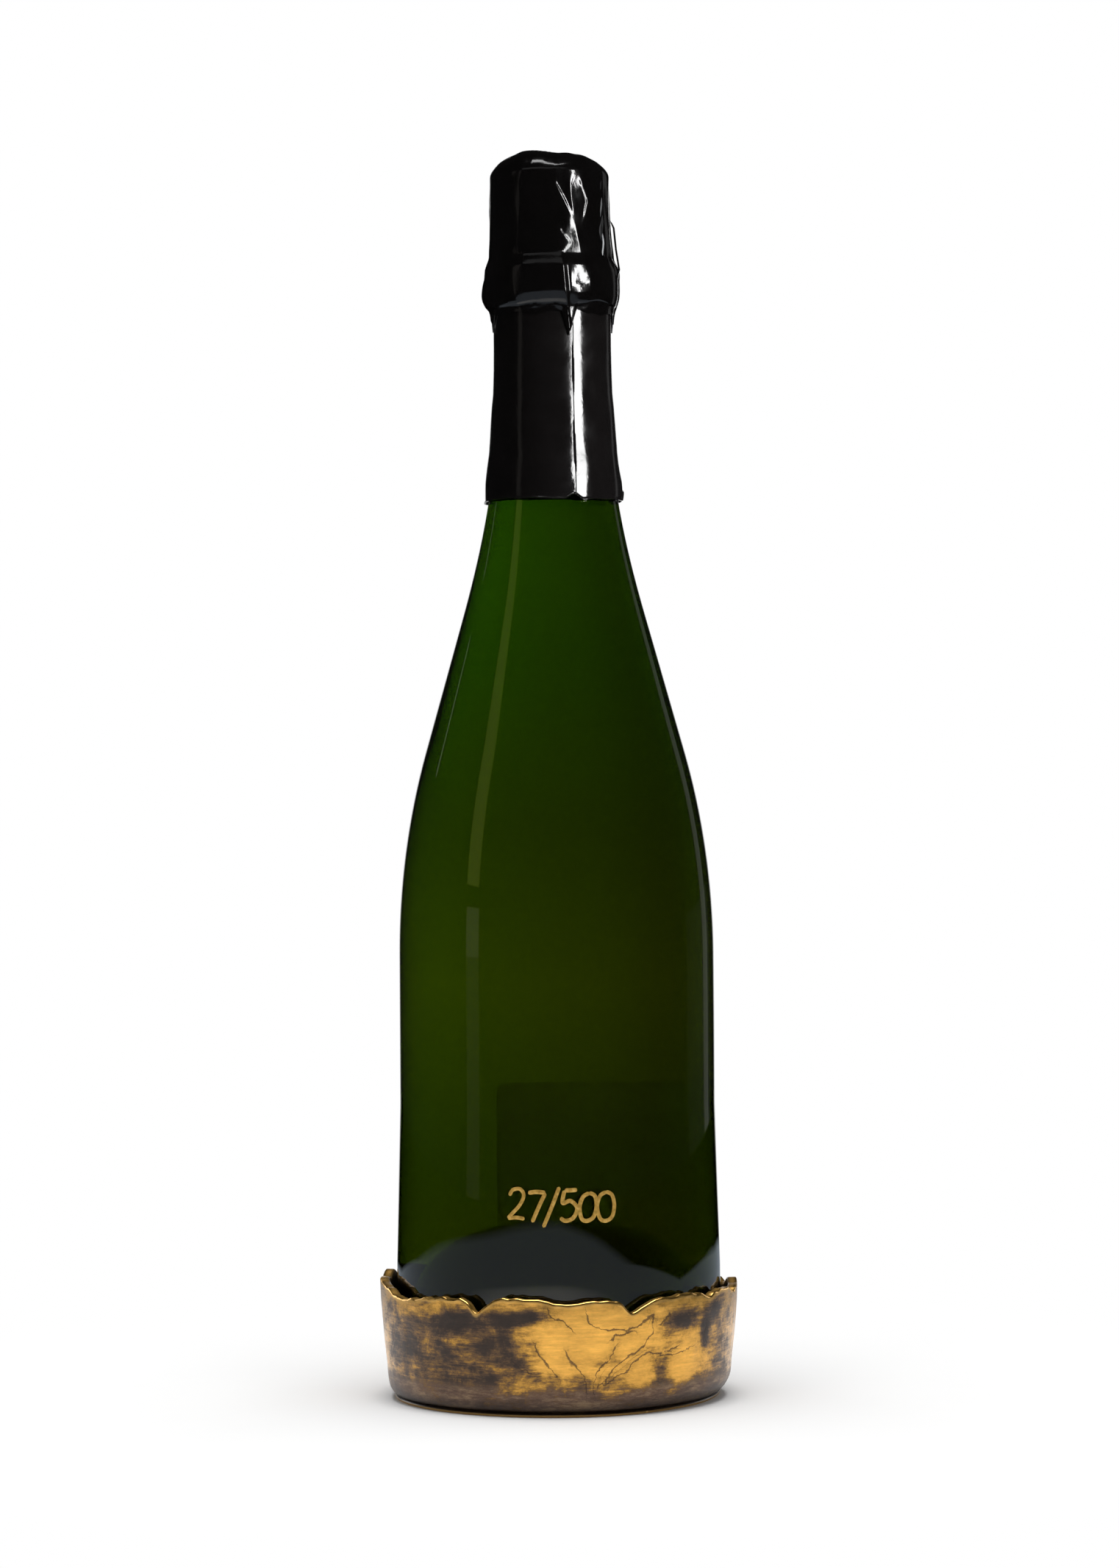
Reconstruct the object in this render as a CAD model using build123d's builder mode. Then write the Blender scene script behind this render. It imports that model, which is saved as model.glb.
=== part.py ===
"""A sparkling wine bottle standing in a torn-rimmed cast metal base.

The glass stands loose in the base. Its mouth is closed by a mushroom cork with two natural
cork discs, held down by a plaque and a wire cage whose belt is shut under the glass ring.
A pleated foil hood covers the lot, a foil sleeve covers the neck, and a paper label is
stuck to the far side. +Z is up, the viewer stands at -Y, sizes are in millimetres, and the
origin is the middle of the base's underside.
"""

from build123d import *

import os
from math import ceil, cos, pi, radians, sin, tan

os.makedirs("parts", exist_ok=True)

# Glass bottle, outside. Heights add up from the foot to the mouth.
glass_base_radius = 43.9
glass_taper = 1.1
heel_round = 8.0
glass_base_height = 31.5
taper_height = 43.5
body_height = 40.5
shoulder_round = 202.0
slope_angle = 15.8
shoulder_height = 92.0
neck_blend_height = 56.0
neck_height = 29.0
neck_taper = 0.25
ring_radius = 15.7
ring_rise = 0.15
ring_height = 8.2
ring_edge_round = 1.0
groove_depth = 1.9
groove_height = 3.2
groove_cone_height = 6.5
shelf_height = 2.8
lip_waist_height = 1.3
lip_waist_depth = 0.6
lip_height = 6.2
lip_step = 1.7
lip_round = 2.0

# Glass bottle, inside.
bore_radius = 8.9
bore_depth = 34.0
neck_inner_radius = 10.6
neck_inner_drop = 5.5
wall_body = 3.9
floor_glass = 8.5
trough_round = 4.6
trough_height = 8.5
standing_ring_width = 4.9
punt_depth = 38.0
punt_side_run = 4.0
punt_cap_radius = 13.0
punt_glass = 5.5

# Wine.
wine_gap = 0.3
wine_below_mouth = 77.5

# Cast base: a shallow cup with a torn rim, in which the glass stands loose.
base_floor = 4.5
base_height = 32.6
base_wall = 2.6
base_gap = 0.4
base_flare = 1.7
base_waist_height = 10.0
base_belly = 0.5
base_foot_step = 2.5
base_foot_height = 1.3
base_foot_inset = 0.7
base_inner_round = 6.0
base_recess_inset = 8.4
base_recess_depth = 0.8
rim_ripple = 0.3
rim_ripple_count = 9
rim_point_count = 72
rim_nick_depth = 4.3
# Each nick of the torn rim: its direction and half width in degrees, and its share of the depth.
rim_nick_shares = [
    (-150.0, 10.0, 0.5),
    (-117.0, 5.0, 1.0),
    (-88.0, 9.0, 0.3),
    (-67.0, 6.0, 0.95),
    (-34.0, 5.0, 0.35),
    (-15.0, 5.0, 0.5),
    (9.0, 4.5, 0.51),
    (31.0, 5.0, 0.74),
    (62.0, 7.0, 0.86),
    (93.0, 6.0, 0.53),
    (128.0, 6.5, 1.0),
    (164.0, 5.0, 0.51),
]

# Cork.
cork_fit = 0.05
cork_in_neck = 24.0
cork_head_radius = 14.2
cork_head_height = 15.8
cork_head_round = 3.8
cork_under_slope = 2.2
cork_disc_height = 5.6

# Pieces that only rest on each other.
seat_gap = 0.3

# Plaque on top of the cork.
plaque_sheet = 0.4
plaque_inset = 1.6
plaque_rim_drop = 0.8
plaque_bend = 0.35
boss_ring_gap = 1.4
boss_slope_run = 1.1
boss_rise = 3.3

# Wire cage.
wire_gap = 0.1
cage_wire = 0.6
strand_share = 0.6
wire_side_count = 5
strand_step_count = 7
ring_run_count = 36
eye_run_count = 12
cage_ring_inset = 1.9
leg_count = 4
leg_first_angle = -32.0
leg_pitch = 11.0
leg_bend = 3.2
leg_knee_bend = 4.0
belt_wire = 0.7
belt_gap = 0.4
eye_gap = 0.05
tail_angle = 8.0
tail_height = 6.0
tail_bend = 0.9
tail_pitch = 4.5
tail_eye_width = 8.0
tail_eye_height = 11.0
tail_eye_lean_angle = 6.0

# Foil hood and its skirt.
foil = 0.3
hood_height_over_boss = 1.4
hood_flat_radius = 4.0
hood_shoulder_drop = 0.3
hood_shoulder_gap = 0.25
hood_band_gap = 0.6
hood_ledge_inset = 0.45
hood_ledge_height = 3.8
skirt_bend_inset = 0.3
skirt_bend_height = 1.9
skirt_edge_height = 6.0
skirt_spare = 0.15
skirt_gap = 0.05
skirt_wave = 0.35
skirt_wave_count = 7
skirt_point_count = 48
pleat_count = 4
pleat_first_angle = -77.0
pleat_width_angle = 9.0
pleat_rise = 0.8
pleat_tip_angle = 14.0
pleat_tip_drop = 2.5

# Foil sleeve on the neck. Its corners lie at shares of the neck's blend, each a gap off the glass.
sleeve_gap = 0.3
sleeve_fit = 0.15
sleeve_kink_rise = 4.0
sleeve_flare_share = 0.89
sleeve_flare_gap = 1.1
sleeve_low_share = 0.66
sleeve_low_gap = 1.35
sleeve_edge_share = 0.54
sleeve_edge_gap = 0.72
sleeve_wave = 0.5
sleeve_wave_count = 3
sleeve_point_count = 48
sleeve_seam_angle = -73.0
sleeve_lap_angle = 18.0
sleeve_lap_rise = 0.2

# Paper label on the far side.
label_bottom = 29.0
label_width = 26.4
label_height = 50.0
label_angle = 84.0
label_thick = 0.2
label_gap = 0.1
label_corner = 2.0

cut_over = 5.0
foil_cut_over = 3.0
cut_start_angle = 45.0

# Heights above the table, worked out from the sizes above.
glass_z = base_floor
wall_foot_z = glass_z + glass_base_height
body_foot_z = wall_foot_z + taper_height
shoulder_z = body_foot_z + body_height
slope_end_z = shoulder_z + shoulder_height
neck_z = slope_end_z + neck_blend_height
ring_bottom_z = neck_z + neck_height
ring_top_z = ring_bottom_z + ring_height
shelf_z = ring_top_z + shelf_height
lip_z = shelf_z + lip_waist_height
mouth_z = lip_z + lip_height
groove_z = ring_bottom_z - groove_height
neck_top_z = groove_z - groove_cone_height
bore_z = mouth_z - bore_depth
wine_z = mouth_z - wine_below_mouth
cork_bottom_z = mouth_z - cork_in_neck
cork_joint_z = cork_bottom_z + 2 * cork_disc_height
cork_head_z = mouth_z + seat_gap
cork_top_z = cork_head_z + cork_head_height
plaque_z = cork_top_z + seat_gap
plaque_top_z = plaque_z + plaque_sheet
boss_top_z = plaque_top_z + boss_rise

# Radii that follow from them.
glass_body_radius = glass_base_radius - glass_taper
punt_mouth_radius = glass_base_radius - heel_round - standing_ring_width
punt_side_radius = punt_mouth_radius - punt_side_run
neck_radius = ring_radius - ring_rise
neck_top_radius = neck_radius - neck_taper
groove_radius = ring_radius - groove_depth
lip_radius = ring_radius - lip_step
lip_waist_radius = lip_radius - lip_waist_depth
base_waist_radius = glass_base_radius + base_gap + base_wall
base_rim_radius = base_waist_radius + base_flare
base_foot_radius = base_waist_radius - base_foot_step
cork_radius = bore_radius - cork_fit
plaque_radius = cork_head_radius - plaque_inset
cage_ring_radius = plaque_radius - cage_ring_inset
boss_foot_radius = cage_ring_radius - boss_ring_gap
boss_radius = boss_foot_radius - boss_slope_run
strand_radius = cage_wire * (strand_share + 1 / 2)
tail_strand_radius = belt_wire * (strand_share + 1 / 2)
leg_eye_radius = belt_wire / 2 + eye_gap + cage_wire / 2
belt_radius = groove_radius + belt_gap + leg_eye_radius + cage_wire / 2
belt_z = ring_bottom_z - wire_gap - leg_eye_radius - cage_wire / 2
leg_high_radius = cork_head_radius + wire_gap + strand_radius
leg_low_radius = ring_radius + wire_gap + strand_radius
leg_top_z = plaque_top_z + eye_gap + strand_radius
hood_shoulder_radius = leg_high_radius + strand_radius + hood_shoulder_gap + foil
hood_band_radius = leg_low_radius + strand_radius + hood_band_gap + foil
sleeve_radius = neck_radius + sleeve_fit + foil
skirt_neck_radius = sleeve_radius + sleeve_lap_rise + skirt_gap + foil
full_turn = 360.0
half_turn = full_turn / 2
quarter_turn = full_turn / 4


def wave(angle, count, height):
    """A cosine that rises and falls the given number of times round the part."""
    return height * cos(count * radians(angle))


def away_from(angle, direction):
    """How far a direction in degrees lies from another, from 0 to half a turn."""
    return abs((angle - direction + half_turn) % full_turn - half_turn)


def edge_cutter(height_at, inner, outer, points, reach):
    """Everything above a wavy edge round the axis, or below it for a negative reach.

    height_at gives the edge's height in each direction. The cut runs level from the inner
    radius to the outer one, so it meets the wall squarely.
    """
    loops = []
    for radius in (inner, outer):
        places = []
        for step in range(points):
            angle = cut_start_angle + full_turn * step / points
            across = Vector(radius, 0, 0).rotate(Axis.Z, angle)
            places.append(across + Vector(0, 0, height_at(angle)))
        loops.append(Edge.make_spline(places, periodic=True))
    return Solid.extrude(Face.make_surface_from_curves(*loops), Vector(0, 0, reach))


def base_rim_height_at(angle):
    """The torn rim: nearly level, with a rounded nick at each listed direction."""
    height = base_height - rim_ripple + wave(angle, rim_ripple_count, rim_ripple)
    for direction, half_width, depth_share in rim_nick_shares:
        share = away_from(angle, direction) / half_width
        if share < 1:
            height -= rim_nick_depth * depth_share * (1 + cos(pi * share)) / 2
    return height


# The base is turned from one profile, then its rim is torn.
base_mid_z = (base_waist_height + base_height) / 2
base_mid_radius = (base_waist_radius + base_rim_radius) / 2 + base_belly
foot_top_radius = base_foot_radius - base_foot_inset
with BuildPart() as base_cup:
    with BuildSketch(Plane.XZ):
        with BuildLine():
            Polyline(
                (base_waist_radius - base_wall - base_inner_round, base_floor),
                (0, base_floor),
                (0, 0),
                (base_foot_radius, 0),
                (base_foot_radius, base_foot_height),
                (foot_top_radius, base_foot_height),
            )
            Bezier(
                (foot_top_radius, base_foot_height),
                (base_waist_radius - base_foot_inset, base_foot_height),
                (base_waist_radius, base_waist_height / 2),
                (base_waist_radius, base_waist_height),
            )
            ThreePointArc(
                (base_waist_radius, base_waist_height),
                (base_mid_radius, base_mid_z),
                (base_rim_radius, base_height),
            )
            Line((base_rim_radius, base_height), (base_rim_radius - base_wall, base_height))
            ThreePointArc(
                (base_rim_radius - base_wall, base_height),
                (base_mid_radius - base_wall, base_mid_z),
                (base_waist_radius - base_wall, base_waist_height),
            )
            Bezier(
                (base_waist_radius - base_wall, base_waist_height),
                (base_waist_radius - base_wall, base_floor),
                (base_waist_radius - base_wall - base_inner_round, base_floor),
            )
        make_face()
    revolve(axis=Axis.Z)
    with BuildSketch():
        Circle(base_foot_radius - base_recess_inset)
    extrude(amount=base_recess_depth, mode=Mode.SUBTRACT)
    inner_cut = base_waist_radius - base_wall - cut_over
    outer_cut = base_rim_radius + cut_over
    cutter = edge_cutter(base_rim_height_at, inner_cut, outer_cut, rim_point_count, base_height)
    add(cutter, mode=Mode.SUBTRACT)
base_cup.part.label = "base_cup"
export_step(base_cup.part, "parts/base_cup.step")


def neck_blend(inset, neck_at, neck_foot_z):
    """The four control points of the curve from the slope into the neck, drawn in by inset."""
    body = glass_body_radius - inset
    arc = shoulder_round - inset
    arc_end = (
        body - arc * (1 - cos(radians(slope_angle))),
        shoulder_z + arc * sin(radians(slope_angle)),
    )
    slope_out = arc_end[0] - (slope_end_z - arc_end[1]) * tan(radians(slope_angle))
    blend = (neck_foot_z - slope_end_z) / 3
    return [
        (slope_out, slope_end_z),
        (slope_out - blend * tan(radians(slope_angle)), slope_end_z + blend),
        (neck_at, neck_foot_z - blend),
        (neck_at, neck_foot_z),
    ]


def wall_line(inset, neck_at, neck_foot_z):
    """Draw the side of the body, shoulder and neck, drawn in from the outside by inset.

    The neck comes in to neck_at, at the height neck_foot_z.
    """
    body = glass_body_radius - inset
    arc = shoulder_round - inset
    blend_points = neck_blend(inset, neck_at, neck_foot_z)
    Polyline((glass_base_radius - inset, wall_foot_z), (body, body_foot_z), (body, shoulder_z))
    shoulder = CenterArc((body - arc, shoulder_z), arc, 0, slope_angle)
    Line(shoulder @ 1, blend_points[0])
    Bezier(*blend_points)


def punt_line(foot_radius, foot_z, controls, top_z):
    """Draw the dome in the bottom, level at its tip, pulled towards the control points."""
    Bezier((foot_radius, foot_z), *controls, (0, top_z))


def cavity_line(inset):
    """Draw the closed outline of the space in the glass, drawn in by inset."""
    wall = glass_base_radius - wall_body - inset
    floor_z = glass_z + floor_glass + inset
    side_z = glass_z + floor_glass + trough_height
    trough_radius = glass_base_radius - wall_body - trough_round
    tip_z = glass_z + punt_depth + punt_glass + inset
    punt_controls = (
        (punt_mouth_radius + inset, floor_z),
        (punt_side_radius + punt_glass + inset, tip_z),
        (punt_cap_radius, tip_z),
    )
    punt_line(trough_radius, floor_z, punt_controls, tip_z)
    EllipticalCenterArc(
        (trough_radius, side_z),
        wall - trough_radius,
        side_z - floor_z,
        start_angle=-quarter_turn,
        arc_size=quarter_turn,
    )
    Line((wall, side_z), (wall, wall_foot_z))
    wall_line(wall_body + inset, neck_inner_radius - inset, neck_z - neck_inner_drop)
    Polyline(
        (neck_inner_radius - inset, neck_z - neck_inner_drop),
        (bore_radius - inset, bore_z),
        (bore_radius - inset, mouth_z + cut_over),
        (0, mouth_z + cut_over),
        (0, tip_z),
    )


# The bottle: the outside, then the hollow and the dome under it are taken out.
with BuildPart() as glass_bottle:
    with BuildSketch(Plane.XZ):
        with BuildLine():
            Line((0, glass_z), (glass_base_radius - heel_round, glass_z))
            CenterArc(
                (glass_base_radius - heel_round, glass_z + heel_round),
                heel_round,
                -quarter_turn,
                quarter_turn,
            )
            Line((glass_base_radius, glass_z + heel_round), (glass_base_radius, wall_foot_z))
            wall_line(0, neck_radius, neck_z)
            Line((neck_radius, neck_z), (neck_top_radius, neck_top_z))
            Bezier(
                (neck_top_radius, neck_top_z),
                (neck_top_radius, (neck_top_z + groove_z) / 2),
                (groove_radius, (neck_top_z + groove_z) / 2),
                (groove_radius, groove_z),
            )
            Polyline(
                (groove_radius, groove_z),
                (groove_radius, ring_bottom_z),
                (ring_radius - ring_edge_round, ring_bottom_z),
            )
            CenterArc(
                (ring_radius - ring_edge_round, ring_bottom_z + ring_edge_round),
                ring_edge_round,
                -quarter_turn,
                quarter_turn,
            )
            Polyline(
                (ring_radius, ring_bottom_z + ring_edge_round),
                (ring_radius, ring_top_z),
                (lip_waist_radius, shelf_z),
                (lip_waist_radius, lip_z),
                (lip_radius, lip_z + lip_round),
                (lip_radius, mouth_z - lip_round),
            )
            CenterArc((lip_radius - lip_round, mouth_z - lip_round), lip_round, 0, quarter_turn)
            Polyline((lip_radius - lip_round, mouth_z), (0, mouth_z), (0, glass_z))
        make_face()
    revolve(axis=Axis.Z)
    with BuildSketch(Plane.XZ):
        with BuildLine():
            cavity_line(0)
        make_face()
    revolve(axis=Axis.Z, mode=Mode.SUBTRACT)
    with BuildSketch(Plane.XZ):
        with BuildLine():
            dome_z = glass_z + punt_depth
            dome_controls = ((punt_side_radius, dome_z), (punt_cap_radius, dome_z))
            punt_line(punt_mouth_radius, glass_z, dome_controls, dome_z)
            Polyline((0, dome_z), (0, glass_z), (punt_mouth_radius, glass_z))
        make_face()
    revolve(axis=Axis.Z, mode=Mode.SUBTRACT)
glass_bottle.part.label = "glass_bottle"
export_step(glass_bottle.part, "parts/glass_bottle.step")

# The wine, up to its level in the neck, a film's gap inside the glass.
with BuildPart() as wine:
    with BuildSketch(Plane.XZ):
        with BuildLine():
            cavity_line(wine_gap)
        make_face()
    revolve(axis=Axis.Z)
    split(bisect_by=Plane.XY.offset(wine_z), keep=Keep.BOTTOM)
wine.part.label = "wine"
export_step(wine.part, "parts/wine.step")

# The cork: a pressed granule body with a mushroom head, and two natural discs below it.
with BuildPart() as cork_body:
    with BuildSketch(Plane.XZ):
        with BuildLine():
            Polyline(
                (0, cork_joint_z),
                (cork_radius, cork_joint_z),
                (cork_radius, cork_head_z),
                (cork_head_radius - cork_under_slope, cork_head_z),
            )
            Polyline(
                (cork_head_radius - cork_under_slope, cork_head_z),
                (cork_head_radius, cork_head_z + cork_under_slope),
                (cork_head_radius, cork_top_z - cork_head_round),
            )
            CenterArc(
                (cork_head_radius - cork_head_round, cork_top_z - cork_head_round),
                cork_head_round,
                0,
                quarter_turn,
            )
            Polyline((cork_head_radius - cork_head_round, cork_top_z), (0, cork_top_z), (0, cork_joint_z))
        make_face()
    revolve(axis=Axis.Z)
cork_body.part.label = "cork_body"
export_step(cork_body.part, "parts/cork_body.step")

cork_discs = {"cork_disc_lower": cork_bottom_z, "cork_disc_upper": cork_bottom_z + cork_disc_height}
for name, disc_z in cork_discs.items():
    with BuildPart() as cork_disc:
        with BuildSketch(Plane.XY.offset(disc_z)):
            Circle(cork_radius)
        extrude(amount=cork_disc_height)
    cork_disc.part.label = name
    export_step(cork_disc.part, f"parts/{name}.step")

# The plaque: a pressed steel disc with a raised middle and a rim turned down over the cork.
plaque_inner_radius = plaque_radius - plaque_sheet
with BuildPart() as cap_plaque:
    with BuildSketch(Plane.XZ):
        with BuildLine():
            Polyline(
                (0, boss_top_z - plaque_sheet),
                (boss_radius - plaque_sheet, boss_top_z - plaque_sheet),
                (boss_foot_radius - plaque_sheet, plaque_z),
                (plaque_inner_radius, plaque_z),
                (plaque_inner_radius, plaque_top_z - plaque_rim_drop),
                (plaque_radius, plaque_top_z - plaque_rim_drop),
                (plaque_radius, plaque_top_z - plaque_bend),
                (plaque_radius - plaque_bend, plaque_top_z),
                (boss_foot_radius, plaque_top_z),
                (boss_radius, boss_top_z),
                (0, boss_top_z),
                (0, boss_top_z - plaque_sheet),
            )
        make_face()
    revolve(axis=Axis.Z)
cap_plaque.part.label = "cap_plaque"
export_step(cap_plaque.part, "parts/cap_plaque.step")


def twisted_pair(route, wire, pitch):
    """Two wires twisted round each other along a route in the XZ plane, a film apart."""
    count = ceil(strand_step_count * route.length / pitch)
    with BuildPart() as strand:
        for side in (0, half_turn):
            corners = []
            for step in range(count + 1):
                share = step / count
                turn = side + full_turn * route.length * share / pitch
                station = Plane(origin=route @ share, x_dir=(0, 1, 0), z_dir=route % share)
                out = Vector(wire * strand_share, 0, 0).rotate(Axis.Z, turn)
                corners.append(station.from_local_coords(out))
            with BuildLine():
                run = Polyline(*corners)
            with BuildSketch(Plane(origin=run @ 0, z_dir=run % 0)):
                RegularPolygon(wire / 2, wire_side_count)
            sweep(path=run, transition=Transition.RIGHT)
    return strand.part


def wire_ring(radius, wire, runs):
    """A closed ring of wire round the Z axis at height zero, in short straight runs."""
    with BuildSketch(mode=Mode.PRIVATE) as loop:
        RegularPolygon(radius, runs)
    path = loop.sketch.face().outer_wire()
    with BuildPart() as ring:
        with BuildSketch(Plane(origin=path @ 0, z_dir=path % 0)):
            RegularPolygon(wire / 2, wire_side_count)
        sweep(path=path, transition=Transition.RIGHT)
    return ring.part


# The cage: a ring on the plaque, and four twisted legs over the head and past the glass ring.
cage_ring_z = plaque_top_z + eye_gap + cage_wire / 2
with BuildLine(Plane.XZ) as leg_route:
    FilletPolyline(
        (cage_ring_radius, leg_top_z),
        (leg_high_radius, leg_top_z),
        (leg_low_radius, ring_top_z),
        (leg_low_radius, belt_z + leg_eye_radius),
        radius=[leg_bend, leg_knee_bend],
    )
leg = twisted_pair(leg_route.wire(), cage_wire, leg_pitch)
with BuildPart() as wire_cage:
    with Locations((0, 0, cage_ring_z)):
        add(wire_ring(cage_ring_radius, cage_wire, ring_run_count))
    with PolarLocations(0, leg_count, start_angle=leg_first_angle):
        add(leg)
wire_cage.part.label = "wire_cage"
export_step(wire_cage.part, "parts/wire_cage.step")

# The belt under the glass ring. It runs through an eye at the foot of each leg, and its
# twisted tail, with the big eye that opens the cage, is folded up against the neck.
tail_radius = ring_radius + wire_gap + tail_strand_radius
tail_top_z = belt_z + tail_height
with BuildLine(Plane.XZ) as tail_route:
    FilletPolyline(
        (belt_radius, belt_z), (tail_radius, belt_z), (tail_radius, tail_top_z), radius=tail_bend
    )
tail = twisted_pair(tail_route.wire(), belt_wire, tail_pitch)
lean = radians(tail_eye_lean_angle)
tail_eye_plane = Plane((tail_radius, 0, tail_top_z), x_dir=(0, 1, 0), z_dir=(cos(lean), 0, sin(lean)))
with BuildSketch(tail_eye_plane) as tail_eye_line:
    with Locations((0, tail_eye_height / 2)):
        SlotOverall(tail_eye_height - belt_wire, tail_eye_width - belt_wire, rotation=quarter_turn)
tail_eye_route = tail_eye_line.sketch.face().outer_wire()
with BuildPart() as tail_eye:
    with BuildSketch(Plane(origin=tail_eye_route @ 0, z_dir=tail_eye_route % 0)):
        RegularPolygon(belt_wire / 2, wire_side_count)
    sweep(path=tail_eye_route)
leg_eye = wire_ring(leg_eye_radius, cage_wire, eye_run_count)
with BuildPart() as cage_belt:
    with Locations((0, 0, belt_z)):
        add(wire_ring(belt_radius, belt_wire, ring_run_count))
    with PolarLocations(0, 1, start_angle=tail_angle):
        add(tail)
        add(tail_eye.part)
    with PolarLocations(belt_radius, leg_count, start_angle=leg_first_angle):
        with Locations(Location((0, 0, belt_z), (quarter_turn, 0, 0))):
            add(leg_eye)
cage_belt.part.label = "cage_belt"
export_step(cage_belt.part, "parts/cage_belt.step")

# The foil hood: a drawn cap flared over the glass ring, with pleats pressed flat on its side.
hood_top_z = boss_top_z + hood_height_over_boss
hood_shoulder_z = leg_top_z - leg_bend - hood_shoulder_drop
hood_foot_z = ring_bottom_z + ring_edge_round
skirt_full_height = skirt_edge_height + pleat_tip_drop + skirt_wave + skirt_spare


def hood_side(inset):
    """Corners of the hood's side from its shoulder to its foot, drawn in by inset."""
    return [
        (hood_shoulder_radius - inset, hood_shoulder_z),
        (hood_band_radius - hood_ledge_inset - inset, ring_top_z + hood_ledge_height),
        (hood_band_radius - inset, ring_top_z),
        (hood_band_radius - inset, hood_foot_z),
    ]


def skirt_side(inset):
    """Corners of the skirt's side, from the hood's foot in towards the neck."""
    return [
        (hood_band_radius - inset, hood_foot_z),
        (hood_band_radius - skirt_bend_inset - inset, hood_foot_z - skirt_bend_height),
        (skirt_neck_radius - inset, hood_foot_z - skirt_full_height),
    ]


def turned_strip(outer, inner, arc):
    """The space between two rows of corners, turned through an arc round the Z axis."""
    with BuildPart() as strip:
        with BuildSketch(Plane.XZ):
            Polygon(*outer, *reversed(inner), align=None)
        revolve(axis=Axis.Z, revolution_arc=arc)
    return strip.part


def skirt_edge_height_at(angle):
    """The skirt's lower edge: a slight wave, and a tongue hanging down under each pleat."""
    height = hood_foot_z - skirt_edge_height + wave(angle, skirt_wave_count, skirt_wave)
    for pleat in range(pleat_count):
        pleat_angle = pleat_first_angle + full_turn * pleat / pleat_count
        share = away_from(angle, pleat_angle) / pleat_tip_angle
        if share < 1:
            height -= pleat_tip_drop * (1 + cos(pi * share)) / 2
    return height


hood_pleat = turned_strip(
    [hood_side(0)[0], *hood_side(-pleat_rise)[1:]], hood_side(foil / 2), pleat_width_angle
)
skirt_pleat = turned_strip(skirt_side(-pleat_rise), skirt_side(foil / 2), pleat_width_angle)
pleat_start = pleat_first_angle - pleat_width_angle / 2

with BuildPart() as foil_hood:
    with BuildSketch(Plane.XZ):
        with BuildLine():
            for inset in (0, foil):
                Line((0, hood_top_z - inset), (hood_flat_radius, hood_top_z - inset))
                EllipticalCenterArc(
                    (hood_flat_radius, hood_shoulder_z),
                    hood_shoulder_radius - hood_flat_radius - inset,
                    hood_top_z - hood_shoulder_z - inset,
                    start_angle=0,
                    arc_size=quarter_turn,
                )
            Line((0, hood_top_z - foil), (0, hood_top_z))
            Polyline(*hood_side(0), *reversed(hood_side(foil)))
        make_face()
    revolve(axis=Axis.Z)
    with PolarLocations(0, pleat_count, start_angle=pleat_start):
        add(hood_pleat)
foil_hood.part.label = "foil_hood"
export_step(foil_hood.part, "parts/foil_hood.step")

# The hood's skirt, the loose foil below the glass ring that gives as the hood is drawn off.
with BuildPart() as hood_skirt:
    with BuildSketch(Plane.XZ):
        Polygon(*skirt_side(0), *reversed(skirt_side(foil)), align=None)
    revolve(axis=Axis.Z)
    with PolarLocations(0, pleat_count, start_angle=pleat_start):
        add(skirt_pleat)
    inner_cut = skirt_neck_radius - foil - foil_cut_over
    outer_cut = hood_band_radius + pleat_rise + foil_cut_over
    cutter = edge_cutter(
        skirt_edge_height_at, inner_cut, outer_cut, skirt_point_count, -skirt_full_height
    )
    add(cutter, mode=Mode.SUBTRACT)
hood_skirt.part.label = "hood_skirt"
export_step(hood_skirt.part, "parts/hood_skirt.step")

# The foil sleeve: a cone rolled round the neck, lapped over itself in front, loose at its edge.
sleeve_top_z = belt_z - leg_eye_radius - cage_wire / 2 - sleeve_gap


def glass_at(share):
    """The point on the outside of the glass at a share of the way up the neck's blend."""
    controls = neck_blend(0, neck_radius, neck_z)
    weights = ((1 - share) ** 3, 3 * share * (1 - share) ** 2, 3 * share**2 * (1 - share), share**3)
    radius = sum(weight * point[0] for weight, point in zip(weights, controls))
    return radius, slope_end_z + share * neck_blend_height


def sleeve_side(inset):
    """Corners of the sleeve's side from its top to its edge, drawn in by inset."""
    corners = [(sleeve_radius, sleeve_top_z), (sleeve_radius, neck_z + sleeve_kink_rise)]
    for share, gap in (
        (sleeve_flare_share, sleeve_flare_gap),
        (sleeve_low_share, sleeve_low_gap),
        (sleeve_edge_share, sleeve_edge_gap),
    ):
        radius, height = glass_at(share)
        corners.append((radius + gap + foil, height))
    return [(radius - inset, height) for radius, height in corners]


def sleeve_edge_height_at(angle):
    """The sleeve's lower edge, a slow wave that stays within the sleeve's side."""
    return glass_at(sleeve_edge_share)[1] + sleeve_wave + wave(angle, sleeve_wave_count, sleeve_wave)


sleeve_lap = turned_strip(sleeve_side(-sleeve_lap_rise), sleeve_side(foil / 2), sleeve_lap_angle)
with BuildPart() as foil_sleeve:
    with BuildSketch(Plane.XZ):
        Polygon(*sleeve_side(0), *reversed(sleeve_side(foil)), align=None)
    revolve(axis=Axis.Z)
    with PolarLocations(0, 1, start_angle=sleeve_seam_angle):
        add(sleeve_lap)
    edge_radius = glass_at(sleeve_edge_share)[0]
    inner_cut = edge_radius - foil_cut_over
    outer_cut = edge_radius + sleeve_edge_gap + foil + sleeve_lap_rise + foil_cut_over
    cutter = edge_cutter(sleeve_edge_height_at, inner_cut, outer_cut, sleeve_point_count, -cut_over)
    add(cutter, mode=Mode.SUBTRACT)
foil_sleeve.part.label = "foil_sleeve"
export_step(foil_sleeve.part, "parts/foil_sleeve.step")


def label_side(inset):
    """Corners of the glass's side from the heel to the shoulder, drawn in by inset."""
    return [
        (glass_base_radius - inset, glass_z + heel_round),
        (glass_base_radius - inset, wall_foot_z),
        (glass_body_radius - inset, body_foot_z),
        (glass_body_radius - inset, shoulder_z),
    ]


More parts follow.
